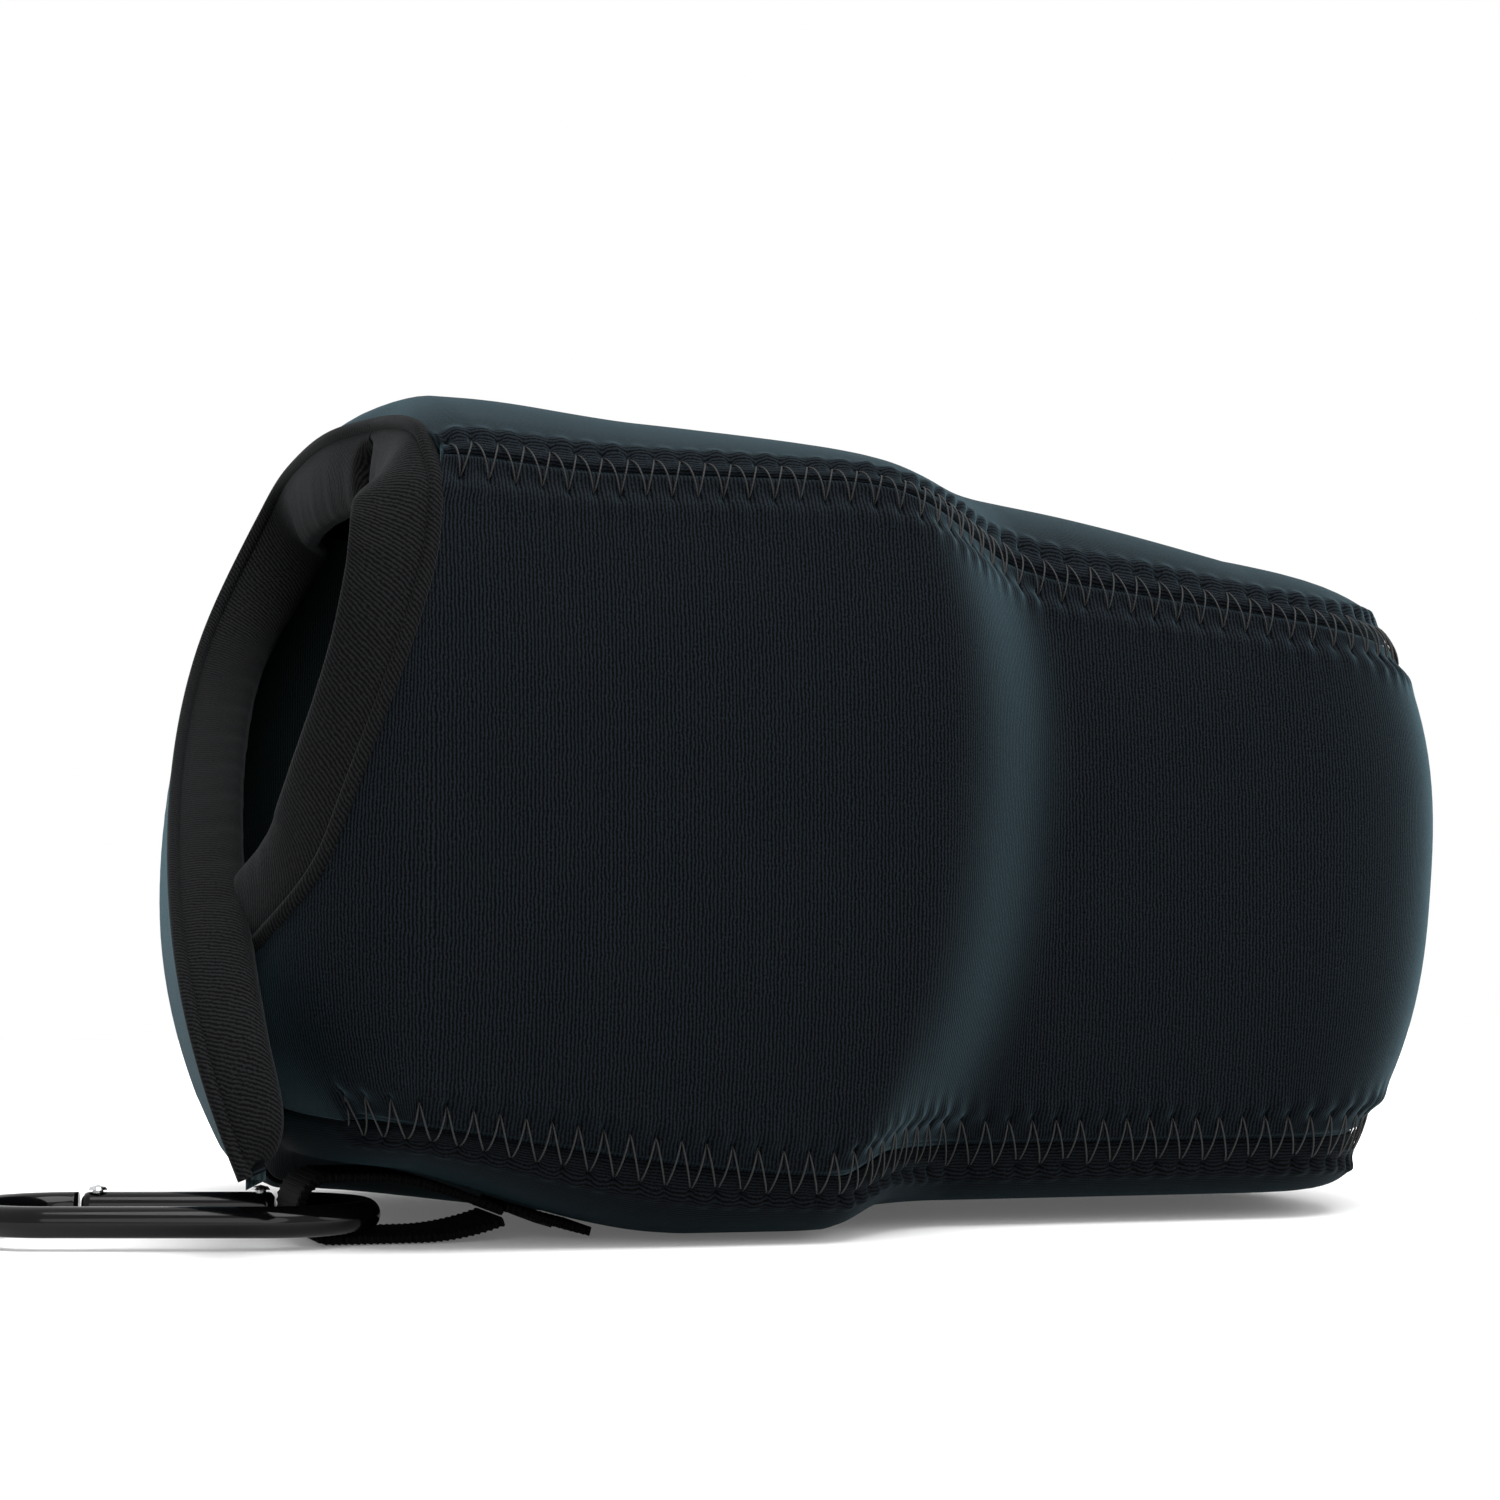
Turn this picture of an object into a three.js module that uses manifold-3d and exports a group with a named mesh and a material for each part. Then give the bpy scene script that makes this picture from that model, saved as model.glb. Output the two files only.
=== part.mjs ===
// A neoprene camera case: a soft T-shaped pouch for a camera body and its lens. Two crossing flaps close
// the rear, and a webbing loop under the rear edge carries a small carabiner.
// Millimetres. +Z is up, +X points to the nose, and the near side panel faces -Y.
// The origin is the middle of the pouch on the surface that it stands on.
import * as THREE from "three";
import { mergeVertices } from "three/addons/utils/BufferGeometryUtils.js";
import Module from "manifold-3d";

const wasm = await Module();
wasm.setup();

// Sheet and clearance
const WALL = 3; // neoprene with a knit face on each side
const GAP = 0.3; // left between pieces that touch

// Plan of the pouch, seen from above
const SPLIT_X = -62; // the side panels end here and the flaps begin
const BODY_HALF = 63; // half the body's width, seam to seam
const BODY_SWELL = 5; // how far the body's sides swell out between their seams
const SNOUT_HALF = 43; // half the snout's width, seam to seam
const SNOUT_SWELL = 4;
const WAIST_X = 13; // middle of the S-bend from body to snout
const WAIST_LENGTH = 34;
const WAIST_LEAN = 4; // the waist lies this much further forward at the top seam
const WAIST_SWELL = 6; // and this much further forward half way up
const NOSE_X = 72; // the snout starts to round here
const TIP_X = 101.5; // nose tip, the mean of its two seams
const TIP_LEAN = 4.5; // the top seam's tip is this far ahead of the mean
const TIP_SWELL = 10.5; // the tip half way up is this far ahead of the mean
const NOSE_POWER = 2.3; // 2 is an ellipse, more is squarer
const SWELL_POWER = 2.6;
const RAMP_STATION = 0.8; // the rows of the top and bottom panels start to bend round the nose here

// Heights
const BODY_TOP = 108; // top seam of the body
const SNOUT_TOP = 97; // top seam where the snout starts
const SNOUT_FALL = 0.13; // drop of the top seam for each millimetre along the snout
const TOP_FALL_LENGTH = 44; // the top seam drops from body to snout over this length
const BOTTOM_SEAM = 9.3;
const BOTTOM_SEAM_RISE = 10; // the bottom seam climbs this much towards the rear
const BOTTOM_SEAM_RUN = 90; // over this length
const TOP_CROWN = 14.5; // the top panel's crown over its seams
const CROWN_POWER = 3;
const BELLY_FLAT = 0.3; // flat share of the bottom panel's half-width
const BELLY_RISE = 11; // the belly lifts this much off the surface at the rear
const BELLY_RISE_X = -20; // from here back
const BELLY_RISE_RUN = 55; // over this length

// Mouth: the rear edge of the top panel
const MOUTH_REACH = 4; // the middle of the edge lies this far behind its ends
const MOUTH_DROOP = 4; // and the crown is this much lower there
const DROOP_RUN = 24; // within this distance of the edge
const MOUTH_NEAR_SHARE = 0.93; // shares of the half-width over which the mouth's rim follows the edge
const MOUTH_FAR_SHARE = 0.84;

// Rear corners and flaps
const CORNER_POWER = 2.2;
const CORNER_ARC = 1.25; // length of sheet that a corner takes up, in corner sizes
const BOTTOM_REAR_X = -75; // rear edge of the bottom panel
const REAR_CORNER_POWER = 4; // squareness of the bottom panel's rear corners
const REAR_EDGE_SHARE = 0.75; // share of the half-width where its side turns into the rear edge
const NEAR_REAR_X = -80.5; // outside of the near flap at the height of the rear bulge
const NEAR_CORNER = 20;
const FAR_REAR_X = -90; // outside of the far flap, same height, middle of the back
const FAR_CORNER = 30;
const FAR_STANDOFF = 0.1; // the far flap leans away from the body towards its free edge
const BULGE_Z = 48; // the back bulges most at this height
const LEAN_TOP = 14.8; // how far forward the back leans LEAN_TOP_RUN above that
const LEAN_TOP_RUN = 60;
const LEAN_FOOT = 12; // and LEAN_FOOT_RUN below it
const LEAN_FOOT_RUN = 44;
const NEAR_FLAP_TOP = 86; // the near flap's edge leaves the split line at this height
const NEAR_REACH = 69; // the near flap's reach round the corner at its foot
const NEAR_RIM_POWER = 1.5;
const FAR_FLAP_TOP = 104;
const FAR_FLAP_FOOT = 10;
const FAR_RIM_Y = -38; // the far flap's free edge near its foot
const FAR_RIM_TOP_Y = 55; // and at its top
const FAR_RIM_LOW = 22; // the edge sweeps across between these two heights
const FAR_RIM_HIGH = 110;

// Binding and piping along the mouth and the flap edges
const PIPING_RADIUS = 0.85;
const PIPING_SINK = 0.5; // depth of the piping's centre under the panel's face
const BAND_WIDTH = 10.5;
const BAND_WALL = 2.4;
const BAND_ROLL = 3; // radius of the roll where the band turns in
const NEAR_CURL = 0.65; // radians that each band turns in
const MOUTH_CURL = 1.2;
const FAR_CURL = 1.35;
const RIM_CLEAR = PIPING_RADIUS + GAP; // panel edge or band edge to the piping's centre
const RIM_MARGIN = 1.25; // a flap's edge keeps this many times that clearance, as its rim is curved
const FOOT_TAPER_START = 0.8; // the far flap's band narrows from this share of its length to its foot
const FOOT_NARROWING = 0.4;
const PIPING_SIDES = 6;

// Zigzag stitching over the butt seams
const STITCH_HALF = 2.7; // half the width of a row
const THREAD = 0.4;

// Webbing under the rear of the bottom panel
const WEB_WIDTH = 18;
const WEB_THICK = 1.3;
const WEB_Y = -34; // middle of the strap
const WEB_TACK_X = -47; // the loop bends here, where it is sewn down
const WEB_TAIL_LENGTH = 12.5;
const LOOP_LENGTH = 29.5; // bend line to the outside of the turned end
const LOOP_HEIGHT = 8.4;
const TACK_LENGTH = 3;
const UPPER_KNEE = 13.5; // from the sewn end, the upper strand swings up here
const UPPER_FLAT = 20; // and is level from here
const LOWER_KNEE = 6; // the lower strand swings down here
const LOWER_FLAT = 12;
const PINCH = 0.1; // half the opening left where the strands meet

// Carabiner: an oval ring of bar with a sprung gate in its far side
const BAR = 2.2; // half the thickness of the bar
const OVAL_RADIUS = 13; // of the bar's centre line at both ends
const OVAL_HALF_STRAIGHT = 14.8;
const BAR_SIDES = 8;
const BAR_STEPS = 40;
const CARABINER_YAW = THREE.MathUtils.degToRad(-16);
const CARABINER_SIDE_SHIFT = 4; // its round end's tip lies this far to the near side of the strap's middle
const PIN_RADIUS = 0.8;
const PIN_HEAD = 1.4;
const PIN_HEAD_HEIGHT = 0.7;
const DOME_RADIUS = 1.1; // the pin heads are domed inside this radius
const DOME_HEIGHT = 0.4; // above this height
const PIVOT_INSET = 3.3; // pivot to the end face of the frame
const LATCH_INSET = 2.8; // latch pin to the end face of the nose
const TONGUE_THICK = 1.5;
const TONGUE_HALF = 1.8;
const SLOT_HALF = TONGUE_THICK / 2 + GAP;
const NOSE_PLATE_LENGTH = 4.6;
const SPRING_TURNS = 6;
const SPRING_WIRE = 0.2;
const SPRING_SIDES = 4;
const SPRING_RADIUS = 0.7; // to the wire's centre
const SPRING_LENGTH = 11;
const PLUNGER_LENGTH = 2;
const BORE_RADIUS = SPRING_RADIUS + SPRING_WIRE + GAP;

// How finely curves are cut
const BODY_STEPS = 6;
const WAIST_STEPS = 8;
const SNOUT_STEPS = 4;
const NOSE_STEPS = 8;
const END_STEP = 4; // nose stations from here on form the end edge of the top and bottom panels
const HEIGHT_STEPS = 7;
const FLAP_STEPS = 10;
const RIM_STEPS = 16;
const ROUND_SIDES = 12;
const CURVE_SEGMENTS = 8;

const mix = (a, b, t) => a + (b - a) * t;
const clamp = (t) => Math.min(1, Math.max(0, t));
const smooth = (t) => clamp(t) ** 2 * (3 - 2 * clamp(t));
const steps = (count) => Array.from({ length: count + 1 }, (_, i) => i / count);
const swell = (v) => 1 - Math.abs(v) ** SWELL_POWER;

// Geometry helpers

// Turns the faces of a closed indexed geometry outwards.
function facingOut(geometry) {
  const index = geometry.index.array;
  const corner = (i) => new THREE.Vector3().fromBufferAttribute(geometry.attributes.position, index[i]);
  let volume = 0;
  for (let i = 0; i < index.length; i += 3) volume += corner(i).dot(corner(i + 1).cross(corner(i + 2)));
  if (volume < 0) geometry.setIndex(Array.from(index).reverse());
  return geometry;
}

// A closed solid between two grids of points with the same rows and columns.
function sheet(outer, inner) {
  const rows = outer.length;
  const columns = outer[0].length;
  const at = (layer, i, j) => (layer * rows + i) * columns + j;
  const index = [];
  const quad = (a, b, c, d) => index.push(a, b, c, a, c, d);
  const lastRow = rows - 1;
  const lastColumn = columns - 1;
  for (let i = 0; i < lastRow; i++) {
    for (let j = 0; j < lastColumn; j++) {
      quad(at(0, i, j), at(0, i + 1, j), at(0, i + 1, j + 1), at(0, i, j + 1));
      quad(at(1, i, j), at(1, i, j + 1), at(1, i + 1, j + 1), at(1, i + 1, j));
    }
    quad(at(0, i, 0), at(1, i, 0), at(1, i + 1, 0), at(0, i + 1, 0));
    quad(at(0, i, lastColumn), at(0, i + 1, lastColumn), at(1, i + 1, lastColumn), at(1, i, lastColumn));
  }
  for (let j = 0; j < lastColumn; j++) {
    quad(at(0, 0, j), at(0, 0, j + 1), at(1, 0, j + 1), at(1, 0, j));
    quad(at(0, lastRow, j), at(1, lastRow, j), at(1, lastRow, j + 1), at(0, lastRow, j + 1));
  }
  const geometry = new THREE.BufferGeometry().setFromPoints([...outer.flat(), ...inner.flat()]);
  return facingOut(geometry.setIndex(index));
}

// A sheet from one function of row, column and depth, at two depths.
function sheetBetween(rows, columns, point, outside, inside) {
  const layer = (depth) => rows.map((row) => columns.map((column) => point(row, column, depth)));
  return sheet(layer(outside), layer(inside));
}

// A regular section with flats on its axes.
function barSection(halfThickness, sides) {
  const radius = halfThickness / Math.cos(Math.PI / sides);
  const corner = (i) => {
    const angle = ((i + 0.5) / sides) * 2 * Math.PI;
    return new THREE.Vector2(radius * Math.cos(angle), radius * Math.sin(angle));
  };
  return new THREE.Shape(Array.from({ length: sides }, (_, i) => corner(i)));
}

function sweep(curve, halfThickness, sides, count) {
  const section = barSection(halfThickness, sides);
  return new THREE.ExtrudeGeometry(section, { extrudePath: curve, steps: count, bevelEnabled: false });
}

// A flat plate of the given outline, centred on Z = 0.
function plate(outline, thickness) {
  const options = { depth: thickness, bevelEnabled: false, curveSegments: CURVE_SEGMENTS };
  return new THREE.ExtrudeGeometry(outline, options).translate(0, 0, -thickness / 2);
}

function solid(geometry) {
  const bare = new THREE.BufferGeometry().setAttribute("position", geometry.attributes.position);
  const merged = mergeVertices(bare.setIndex(geometry.index), 1e-4);
  const vertProperties = new Float32Array(merged.attributes.position.array);
  const triVerts = new Uint32Array(merged.index.array);
  return new wasm.Manifold(new wasm.Mesh({ numProp: 3, vertProperties, triVerts }));
}

function geometryOf(manifold) {
  const { vertProperties, triVerts } = manifold.getMesh();
  const position = new THREE.BufferAttribute(vertProperties, 3);
  return new THREE.BufferGeometry().setAttribute("position", position).setIndex([...triVerts]);
}

// The pouch as a family of horizontal outlines. A station runs from the split line (0) past the start of
// the nose (1) to the nose tip (2), v from the bottom seam (-1) to the top seam (1), and depth is
// measured into the sheet from its outer face.

const waistStart = WAIST_X - WAIST_LENGTH / 2;
const topSeam = (x) => {
  const snout = SNOUT_TOP - SNOUT_FALL * (x - waistStart - WAIST_LENGTH);
  return mix(BODY_TOP, snout, smooth((x - waistStart) / TOP_FALL_LENGTH));
};
const bottomSeam = (x) => BOTTOM_SEAM + BOTTOM_SEAM_RISE * smooth(-x / BOTTOM_SEAM_RUN);

function halfWidth(x, v, depth) {
  const body = BODY_HALF + BODY_SWELL * swell(v) - depth;
  const snout = SNOUT_HALF + SNOUT_SWELL * swell(v) - depth;
  const shift = depth * Math.tan(Math.PI / 8); // keeps the sheet's thickness where the waist slants
  const middle = WAIST_X + WAIST_LEAN * v + WAIST_SWELL * swell(v) - shift;
  return mix(body, snout, smooth((x - middle) / WAIST_LENGTH + 0.5));
}

const tipX = (v, depth) => TIP_X + TIP_LEAN * v + TIP_SWELL * swell(v) - depth;

function outline(station, v, depth) {
  if (station <= 1) {
    const x = mix(SPLIT_X, NOSE_X, station);
    return { x, y: halfWidth(x, v, depth) };
  }
  const angle = ((station - 1) * Math.PI) / 2;
  const x = NOSE_X + (tipX(v, depth) - NOSE_X) * Math.sin(angle) ** (2 / NOSE_POWER);
  const y = halfWidth(NOSE_X, v, depth) * Math.max(0, Math.cos(angle)) ** (2 / NOSE_POWER);
  return { x, y };
}

const stationAt = (x) => (x - SPLIT_X) / (NOSE_X - SPLIT_X);
const waistEnd = waistStart + WAIST_LENGTH + WAIST_SWELL;
const straightStations = [
  ...steps(BODY_STEPS).map((t) => stationAt(mix(SPLIT_X, waistStart, t))),
  ...steps(WAIST_STEPS).slice(1).map((t) => stationAt(mix(waistStart, waistEnd, t))),
  ...steps(SNOUT_STEPS).slice(1).map((t) => stationAt(mix(waistEnd, NOSE_X, t))),
];
const noseStations = steps(NOSE_STEPS).slice(1).map((t) => 1 + t);
const seamStations = [...straightStations, ...noseStations];
const heights = steps(HEIGHT_STEPS).map((t) => 2 * t - 1);

// The side panel on the near side (side = -1) or the far side (side = 1).
function sidePoint(side, station, v, depth) {
  const { x, y } = outline(station, v, depth);
  const low = bottomSeam(x) + depth + GAP / 2;
  const high = topSeam(x) - depth - GAP / 2;
  const atSplit = station === 0 ? GAP / 2 : 0;
  return new THREE.Vector3(x + atSplit, side * Math.max(y, GAP / 2), mix(low, high, (v + 1) / 2));
}

function sidePanel(side) {
  const point = (station, v, depth) => sidePoint(side, station, v, depth);
  return sheetBetween(seamStations, heights, point, 0, WALL);
}

// The top and bottom panels share one layout: t runs across from the near seam (-1) to the far seam (1).
const endStation = noseStations[END_STEP - 1];
const panelStations = seamStations.filter((station) => station <= endStation);
const endHalf = outline(endStation, 1, 0).y;
const endShares = noseStations.slice(END_STEP - 1).map((s) => outline(s, 1, 0).y / endHalf);
const across = [...endShares.map((t) => -t), ...endShares.slice(0, -1).reverse()];

function panelPlan(station, t, v, depth) {
  const side = outline(station, v, depth);
  const end = outline(endStation, v, depth);
  const rampStart = outline(RAMP_STATION, v, depth).x;
  const ramp = clamp((side.x - rampStart) / (end.x - rampStart)) ** 2;
  const full = halfWidth(NOSE_X, v, depth);
  const reach = (1 - ((Math.abs(t) * end.y) / full) ** NOSE_POWER) ** (1 / NOSE_POWER);
  const forward = NOSE_X + (tipX(v, depth) - NOSE_X) * reach - end.x;
  return { x: side.x + ramp * (forward - GAP / 2), y: t * (side.y - GAP / 2), ramp };
}

function topPoint(station, t, depth) {
  const { x, y, ramp } = panelPlan(station, t, 1, depth);
  const crown = (1 - Math.abs(t) ** CROWN_POWER) * (1 - ramp ** 2);
  const atMouth = 1 - smooth((x - SPLIT_X) / DROOP_RUN);
  const reach = MOUTH_REACH * (1 - t * t) * clamp(1 - (x - SPLIT_X) / DROOP_RUN);
  const z = topSeam(x) - depth + (TOP_CROWN - MOUTH_DROOP * atMouth) * crown;
  return new THREE.Vector3(x - reach, y, z);
}

function topPanel() {
  return sheetBetween(panelStations, across, topPoint, 0, WALL);
}

const bellyLift = (x) => BELLY_RISE * smooth((BELLY_RISE_X - x) / BELLY_RISE_RUN);

function bottomPoint(station, t, depth) {
  const { x, y, ramp } = panelPlan(station, t, -1, depth);
  const rise = clamp((Math.abs(t) - BELLY_FLAT) / (1 - BELLY_FLAT)) ** 2;
  const turn = 1 - (1 - rise) * (1 - ramp ** 2);
  return new THREE.Vector3(x, y, mix(bellyLift(x), bottomSeam(x), turn) + depth);
}

// Behind the split line the bottom panel runs on to a rounded rear edge, on which the flaps stand.
function bottomRearPoint(share, t, depth) {
  const half = (k) => BODY_HALF * (1 - k ** REAR_CORNER_POWER) ** (1 / REAR_CORNER_POWER) - GAP / 2;
  const endShare = (1 - REAR_EDGE_SHARE ** REAR_CORNER_POWER) ** (1 / REAR_CORNER_POWER);
  const k = endShare * share;
  const edge = (1 - (Math.abs(t) * REAR_EDGE_SHARE) ** REAR_CORNER_POWER) ** (1 / REAR_CORNER_POWER);
  const x = mix(SPLIT_X, BOTTOM_REAR_X, k + (edge - endShare) * share ** 2);
  const rise = clamp((Math.abs(t) - BELLY_FLAT) / (1 - BELLY_FLAT)) ** 2;
  const turn = 1 - (1 - rise) * (1 - share ** 2);
  return new THREE.Vector3(x, t * half(k), mix(bellyLift(x), bottomSeam(x), turn) + depth);
}

function bottomPanel() {
  const rear = steps(3).slice(1).reverse();
  const rows = (depth) => [
    ...rear.map((share) => across.map((t) => bottomRearPoint(share, t, depth))),
    ...panelStations.map((station) => across.map((t) => bottomPoint(station, t, depth))),
  ];
  return sheet(rows(0), rows(WALL));
}

// Flaps: each is a strip that leaves its side panel at the split line, turns the rear corner and crosses
// the back. The distance s is measured along the strip from the split line.

const cornerLength = (corner) => CORNER_ARC * corner;

function stripPoint(strip, s, z, depth) {
  const v = clamp((z - bottomSeam(SPLIT_X)) / (BODY_TOP - bottomSeam(SPLIT_X))) * 2 - 1;
  const half = BODY_HALF + BODY_SWELL * swell(v) - depth;
  const above = z - BULGE_Z;
  const leanOver = (lean, run) => lean * (above / run) ** 2;
  const lean = above > 0 ? leanOver(LEAN_TOP, LEAN_TOP_RUN) : leanOver(LEAN_FOOT, LEAN_FOOT_RUN);
  const corner = strip.corner - depth;
  const bend = clamp(s / cornerLength(strip.corner)) * (Math.PI / 2);
  const beyond = Math.max(0, s - cornerLength(strip.corner));
  const y = half - corner + corner * Math.max(0, Math.cos(bend)) ** (2 / CORNER_POWER) - beyond;
  const back = strip.rearX + strip.standoff * y + lean + depth;
  const x = mix(SPLIT_X, back, Math.sin(bend) ** (2 / CORNER_POWER)) - Math.min(s, GAP / 2);
  return new THREE.Vector3(x, strip.side * y, z);
}

const nearStrip = {
  side: -1,
  rearX: NEAR_REAR_X,
  standoff: 0,
  corner: NEAR_CORNER,
  foot: bottomSeam(BOTTOM_REAR_X) + WALL + GAP,
  top: NEAR_FLAP_TOP,
  rim: (z) => {
    const fall = clamp((NEAR_FLAP_TOP - z) / (NEAR_FLAP_TOP - BOTTOM_SEAM - BOTTOM_SEAM_RISE));
    return RIM_CLEAR + GAP + NEAR_REACH * fall ** NEAR_RIM_POWER;
  },
};

const farStrip = {
  side: 1,
  rearX: FAR_REAR_X,
  standoff: FAR_STANDOFF,
  corner: FAR_CORNER,
  foot: FAR_FLAP_FOOT,
  top: FAR_FLAP_TOP,
  rim: (z) => {
    const y = mix(FAR_RIM_Y, FAR_RIM_TOP_Y, smooth((z - FAR_RIM_LOW) / (FAR_RIM_HIGH - FAR_RIM_LOW)));
    const cornerEnd = BODY_HALF + BODY_SWELL / 2 - FAR_CORNER; // with half the swell, as a mean
    if (y < cornerEnd) return cornerLength(FAR_CORNER) + cornerEnd - y;
    const bend = Math.acos(clamp((y - cornerEnd) / FAR_CORNER) ** (CORNER_POWER / 2));
    return (cornerLength(FAR_CORNER) * bend) / (Math.PI / 2);
  },
};

// How far the panel's edge stays behind the rim, so that it clears the piping where the rim slants.
function rimClearance(strip, z) {
  const slope = strip.rim(z + 0.5) - strip.rim(z - 0.5);
  return RIM_MARGIN * RIM_CLEAR * Math.hypot(1, slope);
}

function flap(strip, footAt) {
  const point = (a, b, depth) => {
    const z = mix(footAt(a), strip.top, b);
    const s = mix(GAP / 2, strip.rim(z) - rimClearance(strip, z), a);
    return stripPoint(strip, s, z, depth);
  };
  return sheetBetween(steps(FLAP_STEPS), steps(FLAP_STEPS), point, 0, WALL);
}

// The far flap stands on the bottom panel round the corner, then hangs lower across the back.
function farFoot(a) {
  const s = a * farStrip.rim(FAR_FLAP_FOOT);
  const afterCorner = (s - cornerLength(FAR_CORNER)) / NEAR_CORNER;
  return mix(nearStrip.foot, FAR_FLAP_FOOT, smooth(afterCorner));
}

// Rims: each is a list of frames with a point, the direction across it into the opening, and inwards.

function framesAlong(points, inwards) {
  const curve = new THREE.CatmullRomCurve3(points);
  return points.map((point, i) => {
    const tangent = curve.getTangent(i / (points.length - 1));
    const inward = inwards[i].addScaledVector(tangent, -inwards[i].dot(tangent)).normalize();
    return { point, inward, across: new THREE.Vector3().crossVectors(tangent, inward).normalize() };
  });
}

function flapRim(strip, top, foot) {
  const levels = steps(RIM_STEPS).map((t) => mix(top, foot, t));
  const on = (z, depth) => stripPoint(strip, strip.rim(z), z, depth);
  const points = levels.map((z) => on(z, PIPING_SINK));
  const inwards = levels.map((z) => on(z, WALL).sub(on(z, 0)));
  const frames = framesAlong(points, inwards);
  if (strip.side < 0) frames.forEach((frame) => frame.across.negate());
  return frames;
}

// The mouth's rim climbs the near side panel's end, crosses the top panel's edge and ends at the far seam.
function mouthRim() {
  const back = new THREE.Vector3(-RIM_CLEAR, 0, 0);
  const climb = steps(4).map((t) => mix(NEAR_FLAP_TOP + 2 * RIM_CLEAR, BODY_TOP - WALL, t));
  const vAt = (z) => ((z - bottomSeam(SPLIT_X)) / (BODY_TOP - bottomSeam(SPLIT_X))) * 2 - 1;
  const side = (z, depth) => new THREE.Vector3(SPLIT_X, -halfWidth(SPLIT_X, vAt(z), depth), z);
  const edge = steps(RIM_STEPS).map((t) => mix(-MOUTH_NEAR_SHARE, MOUTH_FAR_SHARE, t));
  const points = [
    ...climb.map((z) => side(z, PIPING_SINK)),
    ...edge.map((t) => topPoint(0, t, PIPING_SINK)),
  ].map((point) => point.add(back));
  const inwards = [
    ...climb.map((z) => side(z, WALL).sub(side(z, 0))),
    ...edge.map((t) => topPoint(0, t, WALL).sub(topPoint(0, t, 0))),
  ];
  return framesAlong(points, inwards);
}

function piping(frames) {
  const curve = new THREE.CatmullRomCurve3(frames.map((frame) => frame.point));
  return sweep(curve, PIPING_RADIUS, PIPING_SIDES, 2 * frames.length);
}

// The band leaves the piping in the panel's plane, rolls in by the curl angle and runs straight on.
function band(frames, curl, widthAt) {
  const roll = steps(3).map((t) => ({ angle: t * curl, run: 0 }));
  const profile = [...roll, { angle: curl, run: 1 }];
  const point = (row, { angle, run }, depth) => {
    const { point: rim, across: out, inward } = frames[row];
    const radius = BAND_ROLL - depth;
    const straight = run * (widthAt(row / (frames.length - 1)) - RIM_CLEAR - BAND_ROLL * curl);
    const m = RIM_CLEAR + radius * Math.sin(angle) + straight * Math.cos(angle);
    const n = BAND_ROLL - radius * Math.cos(angle) + straight * Math.sin(angle) - PIPING_SINK;
    return rim.clone().addScaledVector(out, m).addScaledVector(inward, n);
  };
  return sheetBetween([...frames.keys()], profile, point, 0, BAND_WALL);
}

// Stitching: a thin cover of the zigzag rows, bent over a butt seam from the side to the other panel.
function stitches(side, v, panelPoint) {
  const point = (station, column, depth) => {
    const seam = sidePoint(side, station, v, depth);
    const height = topSeam(seam.x) - bottomSeam(seam.x);
    if (column === 0) return sidePoint(side, station, v * (1 - (2 * STITCH_HALF) / height), depth);
    if (column === 1) return seam.setZ(seam.z + v * (GAP / 2));
    const { y } = outline(Math.min(station, endStation), v, 0);
    if (station <= endStation) return panelPoint(station, side * (1 - STITCH_HALF / y), depth);
    const share = outline(station, v, 0).y / outline(endStation, v, 0).y;
    const back = STITCH_HALF / (outline(endStation, v, 0).x - NOSE_X);
    return panelPoint(endStation - back * (endStation - 1), side * share, depth);
  };
  const stations = [...seamStations.slice(0, -1), 2 - STITCH_HALF / NOSE_X];
  return sheetBetween(stations, [0, 1, 2], point, -GAP - THREAD, -GAP);
}

// The upright seam at the nose tip, covered in the same way.
function noseStitches() {
  const point = (v, share, depth) => {
    const near = sidePoint(-1, 2, v, depth);
    const reach = (1 - (STITCH_HALF / halfWidth(NOSE_X, v, 0)) ** NOSE_POWER) ** (1 / NOSE_POWER);
    const x = share === 0 ? near.x : NOSE_X + (near.x - NOSE_X) * reach;
    return new THREE.Vector3(x, share * STITCH_HALF, near.z);
  };
  const levels = heights.slice(1, -1);
  return sheetBetween(levels, [-1, 0, 1], point, -GAP - THREAD, -GAP);
}

// Webbing

const bottomAt = (x, y, depth) => {
  const station = stationAt(x);
  return bottomPoint(station, y / (outline(station, -1, depth).y - GAP / 2), depth);
};

function underBottom(fromX, toX, below, thickness) {
  const rows = steps(4).map((t) => mix(fromX, toX, t));
  const columns = steps(2).map((t) => WEB_Y + (t - 0.5) * WEB_WIDTH);
  return sheetBetween(rows, columns, bottomAt, -below - thickness, -below);
}

function webbingTail() {
  return underBottom(WEB_TACK_X + GAP, WEB_TACK_X + GAP + WEB_TAIL_LENGTH, GAP, WEB_THICK);
}

function webbingTack() {
  const start = WEB_TACK_X + WEB_THICK;
  return underBottom(start, start + TACK_LENGTH, 2 * GAP + WEB_THICK, THREAD);
}

// Drawn in X and Z. The strap is pinched where it is sewn, and its turned end is round.
const loopEndRadius = LOOP_HEIGHT / 2;
const loopEndX = WEB_TACK_X - LOOP_LENGTH + loopEndRadius;
const pinchZ = bottomAt(WEB_TACK_X, WEB_Y + WEB_WIDTH / 2, 0).z - GAP - WEB_THICK;

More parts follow.
